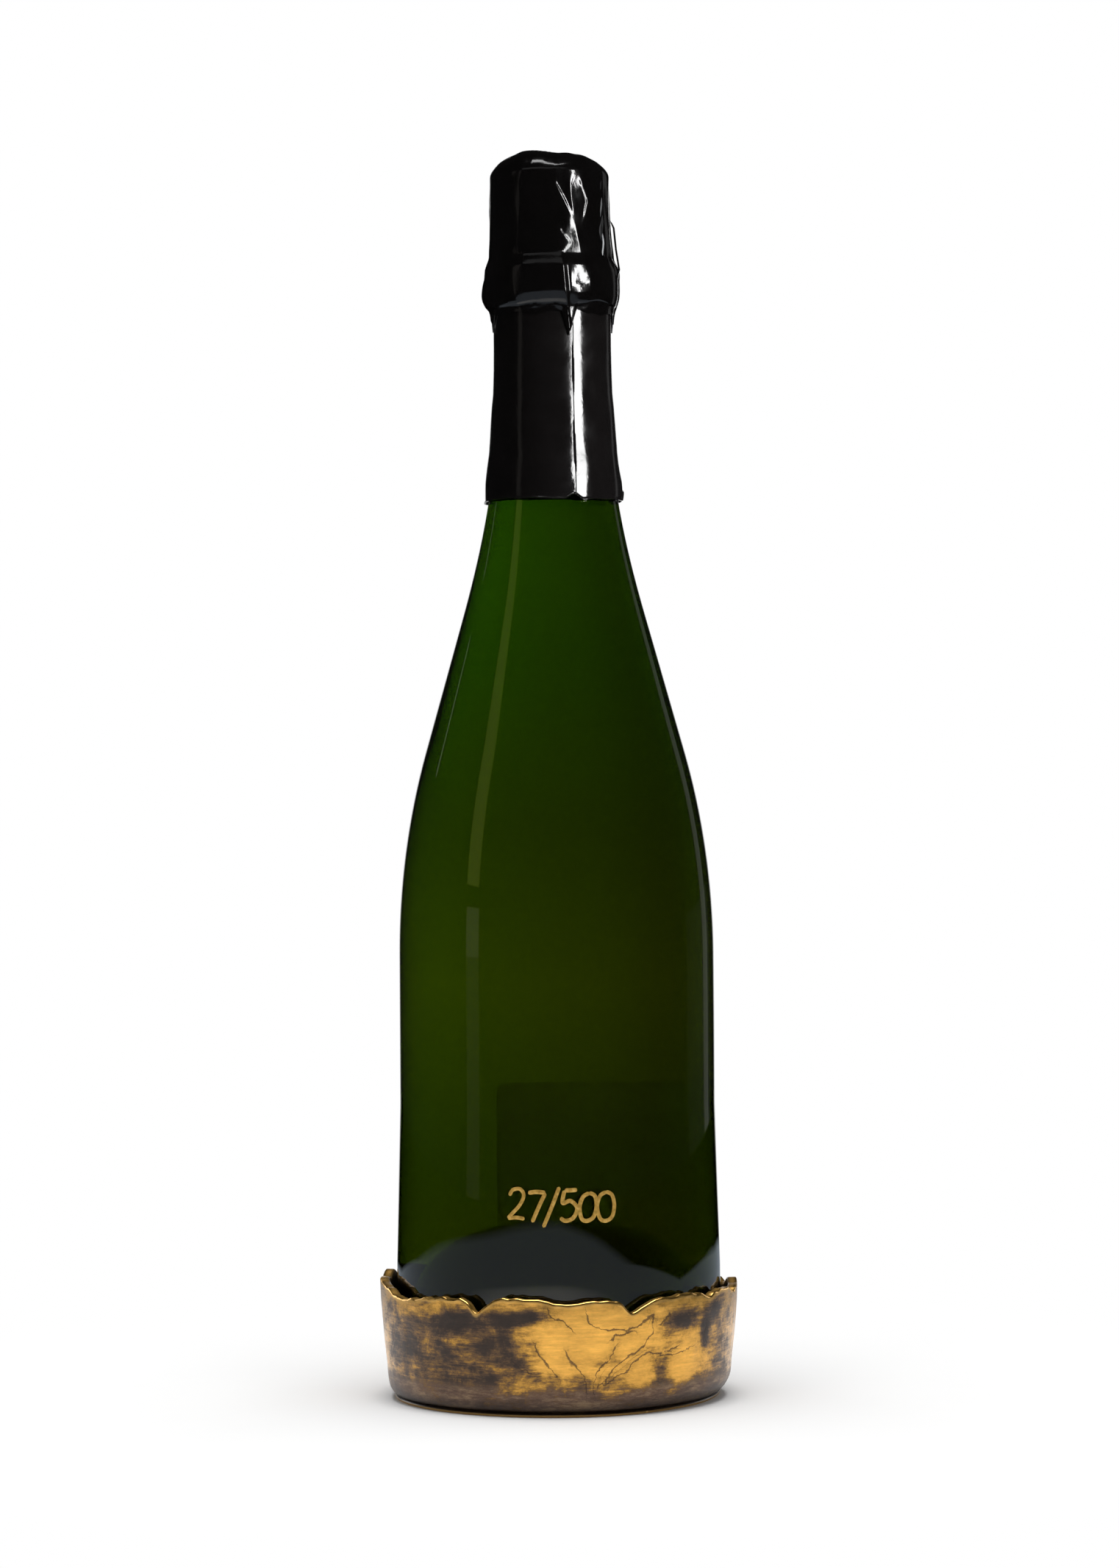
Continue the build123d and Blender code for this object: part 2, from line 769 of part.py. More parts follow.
# The paper label: a blank rectangle with rounded corners, wrapped on the far side of the glass.
label_skin = turned_strip(label_side(-label_gap - label_thick), label_side(-label_gap), full_turn)
label_out = Vector(1, 0, 0).rotate(Axis.Z, label_angle)
label_centre = Vector(0, 0, glass_z + label_bottom + label_height / 2)
with BuildPart() as back_label:
    with BuildSketch(Plane(origin=label_centre, x_dir=label_out.cross(Vector(0, 0, 1)), z_dir=label_out)):
        RectangleRounded(label_width, label_height, label_corner)
    extrude(amount=glass_base_radius + cut_over)
    add(label_skin, mode=Mode.INTERSECT)
back_label.part.label = "back_label"
export_step(back_label.part, "parts/back_label.step")
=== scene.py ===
"""The looks of a sparkling wine bottle that stands in a torn-rimmed cast base.

Laid out as an add-on and run as a script: each operator makes one piece, or a group of like
pieces, as a surface worked out from two parameters, but for the one that gives the CAD cork,
plaque, wires and label their materials. Shapes are worked out in millimetres, with +Z up along
the bottle and the viewer at -Y, and go into the meshes in metres.
"""

from functools import partial
from math import cos, pi, radians, sin, tan

import bmesh
import bpy
import numpy as np
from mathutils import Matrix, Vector


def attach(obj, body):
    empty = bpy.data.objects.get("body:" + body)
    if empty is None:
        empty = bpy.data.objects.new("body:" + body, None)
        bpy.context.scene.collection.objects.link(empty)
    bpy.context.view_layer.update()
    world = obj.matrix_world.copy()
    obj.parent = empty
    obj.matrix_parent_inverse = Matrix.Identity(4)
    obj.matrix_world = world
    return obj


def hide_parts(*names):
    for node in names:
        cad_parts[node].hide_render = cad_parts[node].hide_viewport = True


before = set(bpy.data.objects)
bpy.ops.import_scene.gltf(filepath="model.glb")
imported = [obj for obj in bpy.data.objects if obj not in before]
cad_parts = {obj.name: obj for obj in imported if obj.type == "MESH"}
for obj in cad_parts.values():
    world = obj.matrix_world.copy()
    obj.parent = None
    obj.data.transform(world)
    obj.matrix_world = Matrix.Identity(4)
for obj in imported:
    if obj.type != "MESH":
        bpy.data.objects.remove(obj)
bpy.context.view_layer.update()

bl_info = {
    "name": "Sparkling wine bottle in a cast base",
    "version": (1, 0, 0),
    "blender": (4, 5, 0),
    "location": "3D View > Sidebar > Bottle",
    "description": "Makes the bottle's glass, wine, foil, wires, number and base, and their stage",
    "category": "Object",
}

MM = 0.001


def linear(code):
    """An sRGB hex colour as three linear values."""
    parts = (int(code[i : i + 2], 16) / 255 for i in (1, 3, 5))
    return tuple(c / 12.92 if c <= 0.04045 else ((c + 0.055) / 1.055) ** 2.4 for c in parts)


def rgba(colour):
    """A hex code or a linear colour with full opacity, as colour sockets take it."""
    return (*(linear(colour) if isinstance(colour, str) else colour), 1)


def shaded(colour, *shade):
    """A linear colour times one factor, or times a factor for each of its values."""
    return tuple(a * b for a, b in zip(colour, shade * 3))


def rows(text):
    """A table from text: rows parted by blanks, the numbers of a row by commas."""
    return np.array([row.split(",") for row in text.split()], float)


def tables(text):
    """Several tables from text, parted by semicolons."""
    return [rows(part) for part in text.split(";")]


# ---- Lines that the surfaces are turned from: rows of (radius, height) in millimetres ----


def bezier(controls, count):
    """Bezier curve: repeated means of neighbouring control points, t from 0 to 1, end left out."""
    t = np.linspace(0, 1, count, endpoint=False)[:, None]
    means = [np.array(point, float) + 0 * t for point in controls]
    while len(means) > 1:
        means = [a * (1 - t) + b * t for a, b in zip(means, means[1:])]
    return means[0]


def drawn(start, *runs):
    """A line through runs of (count, points): a straight run, start + t (end - start), has its
    end alone, and a Bezier curve has its other control points before its end."""
    lines = []
    for count, *controls in runs:
        lines.append(bezier([start, *controls], count))
        start = controls[-1]
    return joined(*lines)


def arc(centre, radii, start, sweep, count):
    """Ellipse arc: centre + radii (cos a, sin a), a from start by sweep degrees, end left out."""
    a = np.radians(start + sweep * np.linspace(0, 1, count, endpoint=False))
    return np.stack([centre[0] + radii[0] * np.cos(a), centre[1] + radii[1] * np.sin(a)], 1)


def joined(*runs):
    """Runs of points as one line."""
    return np.concatenate([np.atleast_2d(run) for run in runs])


def hills(angle, height, cells_round, cell_height, seed):
    """Smooth random hills from -1 to 1: random values on a grid of cells that closes round the
    axis, blended between its corners by 3t^2 - 2t^3."""
    values = np.random.default_rng(seed).uniform(-1, 1, (97, cells_round))
    u = (angle / 360 * cells_round) % cells_round
    v = (height / cell_height) % 96
    column, row = np.floor(u).astype(int), np.floor(v).astype(int)
    s, t = u - column, v - row
    s, t = s * s * (3 - 2 * s), t * t * (3 - 2 * t)
    after = (column + 1) % cells_round
    column = column % cells_round
    low = values[row, column] * (1 - s) + values[row, after] * s
    high = values[row + 1, column] * (1 - s) + values[row + 1, after] * s
    return low * (1 - t) + high * t


def apart(angle, direction):
    """Signed degrees from a direction, from -180 to 180."""
    return (angle - direction + 180) % 360 - 180


def fade(value, start, end):
    """0 at start, 1 at end, and 3t^2 - 2t^3 between them."""
    t = np.clip((value - start) / (end - start), 0, 1)
    return t * t * (3 - 2 * t)


def beside(angle, direction, within, beyond):
    """1 within so many degrees of a direction, 0 beyond so many, and a fade between them."""
    return 1 - fade(np.abs(apart(angle, direction)), within, beyond)


def tent(x, left, right):
    """1 at 0, falling in a straight line to 0 at -left and at right."""
    return np.where(x > 0, np.clip(1 - x / right, 0, 1), np.clip(1 + x / left, 0, 1))


def round_axis(count):
    """The angles of count columns round the axis, in degrees."""
    return np.linspace(-180, 180, count, endpoint=False)[None, :]


def spread(line, count):
    """The angles of count columns, and a line's radii and heights at each of them."""
    angle = round_axis(count)
    return angle, line[:, :1] + 0 * angle, line[:, 1:] + 0 * angle


def turned(radius, height, angle):
    """Points (r cos a, r sin a, z) of a grid: rows along the line, columns round the axis."""
    a = np.radians(angle)
    return np.stack([radius * np.cos(a), radius * np.sin(a), height + 0 * radius], 2)


def tube(path, width, height, across, up, sides, taper):
    """A profile carried along a path: path(t) + across w cos a + up h sin a.

    width and height are half sizes. The taper rounds both ends off over that length.
    """
    steps = np.linalg.norm(np.diff(path, axis=0), axis=1)
    length = np.concatenate([[0], np.cumsum(steps)])
    end = np.clip(np.minimum(length, length[-1] - length) / taper, 0, 1)
    size = np.sqrt(1 - (1 - end) ** 2)[:, None, None]
    a = 2 * pi * np.arange(sides) / sides
    ring_out = width * np.cos(a)[None, :, None] * across[:, None, :]
    ring_up = height * np.sin(a)[None, :, None] * up[:, None, :]
    return path[:, None, :] + size * (ring_out + ring_up)


def piece(name, grids, sharp, attributes=(), loop=False, closed=True):
    """Make one object from grids of points in millimetres, closed round their columns.

    loop also joins the last row to the first, and closed fills the ends that stay open. Rows
    that meet in one point become a pole. sharp is the angle in degrees from which an edge is
    drawn as one. attributes are (name, value for each point of the only grid).
    """
    points, faces, first = [], [], 0
    for grid in grids:
        row_count, columns = grid.shape[:2]
        index = first + np.arange(row_count * columns).reshape(row_count, columns)
        low = index if loop else index[:-1]
        high = np.roll(index, -1, 0) if loop else index[1:]
        quads = (low, np.roll(low, -1, 1), np.roll(high, -1, 1), high)
        faces.append(np.stack(quads, 2).reshape(-1, 4))
        points.append(grid.reshape(-1, 3))
        first += row_count * columns
    mesh = bpy.data.meshes.new(name)
    mesh.from_pydata((np.concatenate(points) * MM).tolist(), [], np.concatenate(faces).tolist())
    for label, values in attributes:
        layer = mesh.attributes.new(label, "FLOAT", "POINT")
        layer.data.foreach_set("value", np.ascontiguousarray(values, np.float32).ravel())
    skin = bmesh.new()
    skin.from_mesh(mesh)
    bmesh.ops.remove_doubles(skin, verts=skin.verts, dist=1e-7)
    if closed:
        ends = [edge for edge in skin.edges if edge.is_boundary]
        bmesh.ops.holes_fill(skin, edges=ends)
        bmesh.ops.recalc_face_normals(skin, faces=skin.faces)
    skin.to_mesh(mesh)
    skin.free()
    mesh.shade_smooth()
    mesh.set_sharp_from_angle(angle=radians(sharp))
    made = bpy.data.objects.new(name, mesh)
    bpy.context.scene.collection.objects.link(made)
    return made


# ---- Materials ----


def add_node(tree, kind, inputs=(), stops=(), **settings):
    """Add a node with its settings and links. inputs gives sockets, in their order or by name
    or number, a value, a hex code, or the socket or node that feeds them. stops gives a colour
    ramp its (place, colour) pairs."""
    node = tree.nodes.new("ShaderNode" + kind)
    for key, value in settings.items():
        setattr(node, key, value)
    for key, value in inputs.items() if isinstance(inputs, dict) else enumerate(inputs):
        if isinstance(value, bpy.types.Node):
            value = next(socket for socket in value.outputs if socket.enabled)
        if isinstance(value, bpy.types.NodeSocket):
            tree.links.new(value, node.inputs[key])
        else:
            node.inputs[key].default_value = rgba(value) if isinstance(value, str) else value
    for _ in stops[2:]:
        node.color_ramp.elements.new(0.5)
    for index, (place, colour) in enumerate(stops):
        element = node.color_ramp.elements[index]
        element.position, element.color = place, rgba(colour)
    return node


def emptied(owner):
    """Take a material's or a world's nodes away, and give back what adds new ones to it."""
    owner.use_nodes = True
    owner.node_tree.nodes.clear()
    return partial(add_node, owner.node_tree)


def new_material(build, *settings):
    """A node material named like the function that builds it. That gets what adds a node, the
    Object coordinates and the settings, and gives back the surface, or surface and volume."""
    material = bpy.data.materials.new(build.__name__)
    add = emptied(material)
    ends = build(add, add("TexCoord").outputs["Object"], *settings)
    add("OutputMaterial", ends if isinstance(ends, tuple) else [ends])
    return material


def tinted(colour, text):
    """A colour ramp's stops, from a table of a place and a factor for each of three values."""
    return [(place, shaded(colour, *shade)) for place, *shade in rows(text)]


def grained(add, noise, shades, rough, relief, surface):
    """A surface from one noise, which picks its shade, sets its roughness between two values
    and raises it by a strength and a height in millimetres. surface holds what is even."""
    grain = add("TexNoise", noise)
    strength, depth = relief
    return add("BsdfPrincipled", {
        "Base Color": add("ValToRGB", [grain], shades),
        "Roughness": add("MapRange", (grain, 0, 1, *rough)),
        "Normal": add("Bump", {"Strength": strength, "Distance": depth * MM, "Height": grain}),
        **surface,
    })


def dress(material, *node_names):
    """Give CAD nodes a material in all their slots."""
    for node_name in node_names:
        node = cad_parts[node_name]
        if not node.data.materials:
            node.data.materials.append(material)
        for slot in node.material_slots:
            slot.material = material


def settle(made, body, slot, material, *nodes):
    """Give a piece its material, its body and the CAD nodes that it stands for. slot is not used.
    """
    made.data.materials.append(material)
    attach(made, body)
    if nodes:
        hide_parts(*nodes)


# ---- Shapes that several pieces share ----

# Radii and heights of the glass, and the slope of its shoulder in degrees.
HEEL_RADIUS, BODY_RADIUS, SHOULDER_RADIUS, NECK_RADIUS, BORE_RADIUS = 43.9, 42.8, 202, 15.55, 8.9
HEEL_Z, WALL_Z, SHOULDER_Z, SLOPE_END_Z, NECK_Z, MOUTH_Z = 36, 79.5, 120, 212, 268, 315.5
SLOPE = 15.8
# The hollow's wall, the middle of the arc of its trough, and the foot of its neck.
HOLLOW_RADIUS, TROUGH, HOLLOW_NECK = 40, (35.4, 21.5), (10.6, 262.5)
WINE_Z = 244.6
NECK_STEPS = 26  # points in the curve into the neck


def side_line(inset, neck_radius, neck_z):
    """The side of the glass from wall to neck, drawn in by inset: two straight walls, a wide
    arc, a straight slope, and a Bezier curve into the neck."""
    body, bend = BODY_RADIUS - inset, SHOULDER_RADIUS - inset
    lean, fall = radians(SLOPE), tan(radians(SLOPE))
    bend_end = (body - bend * (1 - cos(lean)), SHOULDER_Z + bend * sin(lean))
    slope_end = (bend_end[0] - (SLOPE_END_Z - bend_end[1]) * fall, SLOPE_END_Z)
    third = (neck_z - SLOPE_END_Z) / 3
    into_neck = [
        (slope_end[0] - third * fall, SLOPE_END_Z + third),
        (neck_radius, neck_z - third),
        (neck_radius, neck_z),
    ]
    return joined(
        drawn((HEEL_RADIUS - inset, HEEL_Z), (12, (body, WALL_Z)), (10, (body, SHOULDER_Z))),
        arc((body - bend, SHOULDER_Z), (bend, bend), 0, SLOPE, 24),
        drawn(bend_end, (12, slope_end), (NECK_STEPS, *into_neck)),
    )


def cavity_line(inset):
    """The hollow's line from the middle of its floor to the neck, drawn in by inset."""
    wall, floor_z, tip_z = HOLLOW_RADIUS - inset, 13 + inset, 48 + inset
    trough, trough_z = TROUGH
    dome = [(13, tip_z), (32.5 + inset, tip_z), (31 + inset, floor_z), (trough, floor_z)]
    return joined(
        drawn((0, tip_z), (40, *dome)),
        arc(TROUGH, (wall - trough, trough_z - floor_z), -90, 90, 14),
        drawn((wall, trough_z), (5, (wall, HEEL_Z))),
        side_line(HEEL_RADIUS - HOLLOW_RADIUS + inset, HOLLOW_NECK[0] - inset, HOLLOW_NECK[1]),
    )


def glass_radius(height):
    """The radius of the outside of the glass at a height up to the neck."""
    line = joined(side_line(0, NECK_RADIUS, NECK_Z), (NECK_RADIUS, NECK_Z), (15.4, 280))
    return np.interp(height, line[:, 1], line[:, 0])


# ---- Settings ----


def picked(name, description, code):
    """A colour that the user picks, with its default as a hex code."""
    return bpy.props.FloatVectorProperty(
        name=name, description=description, default=linear(code), subtype="COLOR", min=0, max=1
    )


def measured(name, description, default, least=0):
    """A length that the user sets, with its default and its least value in millimetres."""
    return bpy.props.FloatProperty(
        name=name, description=description, default=default * MM, min=least * MM, unit="LENGTH"
    )


class BaseSettings(bpy.types.PropertyGroup):
    """What a user would change on the cast base."""

    jagged: measured("Jagged rim", "How far the torn rim's small teeth rise", 0.3)
    gold: picked("Gold", "The rubbed metal", "#eeb250")
    patina: picked("Patina", "The dark skin left in clouds", "#5b4230")


class GlassSettings(bpy.types.PropertyGroup):
    """What a user would change on the glass, the wine and the number."""

    tint: picked("Glass", "What one wall of the glass lets through", "#8f9a3e")
    wine: picked("Wine", "The wine's colour", "#f3e8b8")
    number: bpy.props.StringProperty(
        name="Number", description="The painted number: digits and a slash", default="27/500"
    )
    number_height: measured("Number height", "Height of a digit", 8, 1)


class FoilSettings(bpy.types.PropertyGroup):
    """What a user would change on the foil."""

    colour: picked("Lacquer", "The foil's lacquer", "#080707")
    crumple: measured("Crumple", "Height of the hood's wrinkles", 0.12)
    pleat: bpy.props.FloatProperty(
        name="Pleats", description="The pleats' height, times their table", default=1, min=0, max=2,
        subtype="FACTOR",
    )


class StageSettings(bpy.types.PropertyGroup):
    """What a user would change on the stage."""

    lamp: bpy.props.FloatProperty(
        name="Overhead lamp", description="Power of the lamp overhead", default=21, min=0,
        unit="POWER",
    )
    backdrop: picked("Backdrop", "Colour of the backdrop and the floor", "#ffffff")


# ---- The cast base ----

# The torn rim's height by direction in degrees, and the height that the line is drawn with.
RIM_TOP = 32.6
RIM = rows("""
    -172,32.2 -160,31.2 -156,30 -152,29.4 -144,29.7 -136,30.5 -130,31.1 -123,31.1 -119.4,30
    -117,27.4 -115.8,27.6 -114.2,29.2 -112,30.4 -108.6,31.4 -105,31.8 -97,31.4 -93,30.7 -87,30.1
    -81,30.6 -75.6,30.9 -70.6,30.8 -69.2,29.4 -67.3,27 -66,27.3 -63.4,28.6 -58,30.6 -46,31.2
    -38.5,30.9 -34,29.4 -31,30.4 -27,31.2 -20,30.9 -14,29.2 -6,30.2 2,31.4 7,31.2 12,29.2 18,28.8
    24,30.2 28,29.6 31,27.6 36,29.4 44,31.2 54,31.6 58,30.4 62,28 64,28.4 70,31 80,32 88,31.2
    93,29.6 98,30.8 110,31.8 121,31.4 125,29.4 128,27.2 130,28 135,30.6 146,32 156,31.6 160,30.2
    164,32.6 167,33.5 170,33.2 173,31.6 177,32.3
""")

# Patches of dark patina, and of bare gold where the weight is below zero: direction, height,
# half width in degrees, half height in millimetres, weight.
PATCHES = rows("""
    -124,25,8,3.8,1.3 -106,25.4,9,3.2,1 -98,27,3.5,2,1 -112,19.4,8,3.4,0.7 -117,10.5,15,3.6,0.7
    -143,23,9,4.5,0.5 -152,15,12,6,0.75 -126,16,9,4,0.6 -145,18,24,14,0.3 -118,18,18,9,0.2
    -28,20,10,12,0.5 -104,14.5,7,3.6,0.6 -31.5,25.4,4.5,2.6,1.2 -36,19.5,2.2,5,0.9
    -47,24.8,7,3.2,0.95 -24,13,7,8,0.35 -39.5,4.6,4.5,2.2,1.4 -26,4.5,5,2,1.2 -55,10,3,5,0.75
    -80,21.5,13,7.5,-0.7 -45.5,11.5,6,5.5,-0.7 -92,18,5,5,-0.5 -62,22,8,5,-0.3
""")

# Dark veins, each through (direction, height).
VEINS = tables("""
    -59.5,26.7 -64,23.8 -68.4,22.8 -73.3,23 -78.6,23.8 -80.1,25.5 -81.3,28.2; -73.2,20.8
    -72.1,21.7 -66.5,22.7; -59.4,26.2 -58.9,21.9 -61.9,18.6 -66.3,16.3 -69.3,14.5 -72.3,12.8
    -75.4,10.1 -78.2,7.5; -41.1,17.2 -45.4,15.8 -52.5,15.6 -60.4,16.3 -63.6,15.3 -66.1,14.1
    -67.8,12.2 -71.6,10.5 -75.2,8.8; -48.1,17.9 -52.6,17.1 -56.3,16.1; -72.3,18.3 -75.5,14.7
    -78.1,11.6 -78.6,9.4 -78.4,6.3; -87.8,17.4 -86.6,14.9 -83.7,12.5 -81.9,10.5 -81.5,6.3;
    -97.6,19.6 -95.3,16.4 -93,13.5 -91.3,11.3; -105.8,15.6 -102.4,13.3 -97.8,11.7; -155.9,27.7
    -166.6,23.3; -154,23.7 -157.5,18.5 -164.2,11.9; -16.2,29.8 -24.4,29.8 -30.2,28.5; -93.3,29.1
    -93,26.5 -90.3,26.5 -86.2,23.5; -52.9,26 -56.3,24.1; -36,23.2 -36.5,19.8 -33.9,15
""")

# What the base's mesh tells its material at each point.
FIELDS = ("inside", "worn", "patch", "vein_across", "vein_there")


def rim_height(angle, jagged):
    """The torn rim: the table joined by lines, rounded by a running mean over 2 degrees, and
    fine teeth."""
    places, heights = RIM.T
    shifts = np.linspace(-1, 1, 9)
    height = np.mean([np.interp(angle + shift, places, heights, period=360) for shift in shifts], 0)
    return height + jagged * hills(angle, 0 * angle + 1, 150, 1, 5)


def front_of(angle):
    """The direction in front that a point's pattern comes from: the back is like the front
    turned half round."""
    front = apart(angle, -90)
    return np.where(np.abs(front) > 90, apart(front, 180), front) - 90


def patch_weight(angle, height):
    """How much patina the listed patches leave: the sum of w exp(-x^2 - y^2)."""
    front = front_of(angle)
    total = 0 * front
    for direction, level, wide, tall, weight in PATCHES:
        x, y = (front - direction) / wide, (height - level) / tall
        total = total + weight * np.exp(-(x**2) - y**2)
    return total


def vein_distance(angle, height):
    """Millimetres to the nearest vein, with a sign by its side, and how much of it is there.

    Along each run from p to q: t = (x - p).(q - p) / |q - p|^2 held within 0 and 1, and the
    distance is |x - p - t (q - p)|, with x worked out round a wall of 48 mm radius.
    """
    per_degree = 48 * pi / 180
    x, y = per_degree * front_of(angle), height
    nearest, side = 1e3 + 0 * x, 1 + 0 * x
    for vein in VEINS:
        points = vein * (per_degree, 1)
        for (px, py), (qx, qy) in zip(points, points[1:]):
            dx, dy = qx - px, qy - py
            t = np.clip(((x - px) * dx + (y - py) * dy) / (dx * dx + dy * dy), 0, 1)
            distance = np.hypot(x - px - t * dx, y - py - t * dy)
            closer = distance < nearest
            side = np.where(closer, np.sign(dx * (y - py) - dy * (x - px)), side)
            nearest = np.where(closer, distance, nearest)
    return nearest * side, 1 - fade(nearest, 1.2, 2.4)


def make_base_mesh(jagged):
    """The cast base: one line turned round the axis, its upper part squeezed to the rim.

    z' = z - w (top - rim(a)), with w from 0 at the waist to 1 at the top, and the wall's sides
    pushed in and out by small hills, as a casting's are. The foot is cut back at the right.
    """
    outer = joined(
        drawn((0, 0.8), (4, (36, 0.8)), (2, (36, 0)), (3, (44.1, 0))),
        arc((44.1, 0.5), (0.4, 0.5), -90, 180, 6),
        drawn(
            (44.1, 1),
            (2, (43.8, 1.3)),
            (13, (46.1, 1.5), (46.6, 4.5), (46.9, 10)),
            (48, (47.8, 18), (48.4, 25), (48.55, 32)),
        ),
        arc((47.95, 32), (0.6, 0.6), 0, 80, 5),
    )
    inner = joined(
        arc((46.7, 31.9), (0.7, 0.6), 100, 80, 5),
        drawn(
            (46, 31.9),
            (14, (45.8, 25), (45.1, 18), (44.3, 10)),
            (8, (44.3, 4.5), (38.3, 4.5)),
            (4, (0, 4.5)),
            (1, (0, 4.5)),
        ),
    )
    line = joined(outer, inner)
    angle, radius, height = spread(line, 800)
    wall = radius > 43
    radius = radius - 1.8 * (1 - fade(height, 0.5, 7)) * beside(angle, -28, 10, 48) * wall
    height = height - fade(height, 12, 32) * (RIM_TOP - rim_height(angle, jagged / MM))
    lumps = 0.14 * hills(angle, height, 26, 9, 8) + 0.05 * hills(angle, height, 120, 2.4, 9)
    radius = radius + fade(height, 1.2, 4) * fade(radius, 40, 44) * lumps
    inside = (np.arange(len(line)) >= len(outer))[:, None] + 0 * angle
    edge = fade(line[:, 1:], 31, 32.3)
    ring = fade(line[:, 1:], 0.7, 0.3) * wall
    worn = np.maximum(edge, 0.6 * ring) * (1 - 0.6 * inside)
    fields = (inside, worn, patch_weight(angle, height), *vein_distance(angle, height))
    grid = turned(radius, height, angle)
    return piece("cast_base", [grid], sharp=55, attributes=zip(FIELDS, fields))


def cast_brass_patinated(add, place, settings):
    """Cast brass with a chemical patina, rubbed back to gold on a wheel, under thin wax.

    It gives the eye a warm mirror with fine level scratches, brown clouds with torn edges
    that dull it, a few dark veins, pits whose rims carry a painted highlight, and a nearly black
    inside.
    """
    height = add("SeparateXYZ", [place]).outputs[2]
    inside, worn, patch, across, there = (
        add("Attribute", attribute_name=label).outputs["Fac"] for label in FIELDS
    )
    smooth = {"interpolation_type": "SMOOTHSTEP"}

    # Clouds of patina with torn edges, drawn out level by the wheel, thicker at the foot, and
    # scratched through by lines 0.5 mm apart that run round the base.
    torn = {"Vector": place, "Scale": 105, "Detail": 12, "Roughness": 0.74, "Distortion": 0.4}
    clouds = add("TexNoise", torn)
    streaky = add("Mapping", {"Vector": place, "Scale": (1, 1, 4)})
    drawn_out = {"Vector": streaky, "Scale": 80, "Detail": 12, "Roughness": 0.8}
    streaks = add("TexNoise", drawn_out)
    level = add("Mapping", {"Vector": place, "Scale": (1, 1, 30)})
    scratch = add("TexNoise", {"Vector": level, "Scale": 72, "Detail": 5, "Roughness": 0.72})
    grain = add("Math", (clouds, streaks), operation="ADD")
    skin = add("MapRange", (height, 0.0112, 0.0045, 0, 0.2), **smooth)
    for part, weight in (patch, 0.19), (there, 0.035), (scratch, 0.24), (grain, 0.6):
        skin = add("Math", (part, weight, skin), operation="MULTIPLY_ADD")
    skin = add("Math", (skin, 0.235), operation="SUBTRACT")
    cloud = add("MapRange", (skin, 0.52, 0.68), **smooth)

    # Veins 0.3 to 0.9 mm wide that waver and break off, along their lines.
    bend = add("TexNoise", {"Vector": place, "Scale": 320, "Detail": 4, "Roughness": 0.6})
    bent = add("Math", (bend, 3.4, across), operation="MULTIPLY_ADD")
    bent = add("Math", (bent, 1.7), operation="SUBTRACT")
    bent = add("Math", [bent], operation="ABSOLUTE")
    swell = add("TexNoise", {"Vector": place, "Scale": 210, "Detail": 3})
    swell = add("MapRange", (swell, 0.4, 0.65, 0.12, 0.5))
    vein = add("Math", (bent, swell), operation="DIVIDE")
    vein = add("MapRange", (vein, 1, 0.2, 0, 0.72), **smooth)
    vein = add("Math", (vein, there), operation="MULTIPLY")

    # Pits about 0.5 mm across, in one of a dozen cells of 8 mm, each rim with a painted highlight.
    spots = add("TexVoronoi", {"Vector": place, "Scale": 125})
    chosen = add("SeparateColor", [spots.outputs["Color"]])
    chosen = add("Math", (chosen, 0.9), operation="GREATER_THAN")
    pit, rim = (
        add("Math", (add("MapRange", (spots, *edge)), chosen), operation="MULTIPLY")
        for edge in ((0.045, 0.025), (0.08, 0.05))
    )

    gold, dark_skin = settings.gold, settings.patina
    shades = (
        (0.38, shaded(gold, 1.06)),
        (0.49, shaded(gold, 0.86)),
        (0.55, shaded(gold, 0.52)),
        (0.61, tuple(0.8 * a + 0.12 * b for a, b in zip(dark_skin, gold))),
        (0.69, shaded(dark_skin, 0.45)),
        (0.82, shaded(dark_skin, 0.24)),
    )
    colour = add("ValToRGB", [skin], shades)
    tone = add("TexNoise", {"Vector": streaky, "Scale": 130, "Detail": 8, "Roughness": 0.75})
    tone = add("MapRange", (tone, 0.35, 0.65, 0.8, 1.12))
    lines = add("MapRange", (scratch, 0.35, 0.65, 0.86, 1.08))
    tone = add("Math", (tone, lines), operation="MULTIPLY")
    colour = add("VectorMath", {0: colour, 3: tone}, operation="SCALE")
    # The band at the foot is a lighter, greyer brown than the clouds.
    foot = add("MapRange", (height, 0.0095, 0.006, 0, 0.75), **smooth)
    foot = add("Math", (foot, cloud), operation="MULTIPLY")
    browns = (0.36, "#38261b"), (0.5, "#735744"), (0.62, "#b0906a")
    foot_skin = add("ValToRGB", [streaks], browns)
    colour = add("Mix", {0: foot, 6: colour, 7: foot_skin}, data_type="RGBA")
    # Darker towards the bottom: partly a darker patina at the foot, partly painted shade where the
    # base meets the floor.
    foot_patina_and_shade = add("MapRange", (height, 0.0055, 0.001, 1, 0.16))
    colour = add("VectorMath", {0: colour, 3: foot_patina_and_shade}, operation="SCALE")
    dark = add("Math", (vein, pit), operation="MAXIMUM")
    # rim is a painted highlight round each pit.
    layers = (rim, "#e9bd74"), (dark, "#3a2519"), (inside, "#120d0a"), (worn, "#f5c168")
    for share, code in layers:
        colour = add("Mix", {0: share, 6: colour, 7: code}, data_type="RGBA")

    dull = add("Math", (cloud, dark), operation="MAXIMUM")
    dull = add("Math", (dull, inside), operation="MAXIMUM")
    metal = add("MapRange", (dull, 0, 1, 1, 0.6))
    rough = add("MapRange", (dull, 0, 1, 0.28, 0.48))
    relief = add("Math", (scratch, 0.3), operation="MULTIPLY")
    relief = add("Math", (relief, dark), operation="SUBTRACT")
    relief = add("Math", (cloud, 0.2, relief), operation="MULTIPLY_ADD")
    bump = add("Bump", {"Strength": 0.5, "Distance": 0.12 * MM, "Height": relief})
    return add("BsdfPrincipled", {
        "Base Color": colour, "Metallic": metal, "Roughness": rough,
        "Coat Weight": 0.35, "Coat Roughness": 0.2, "Normal": bump,
    })


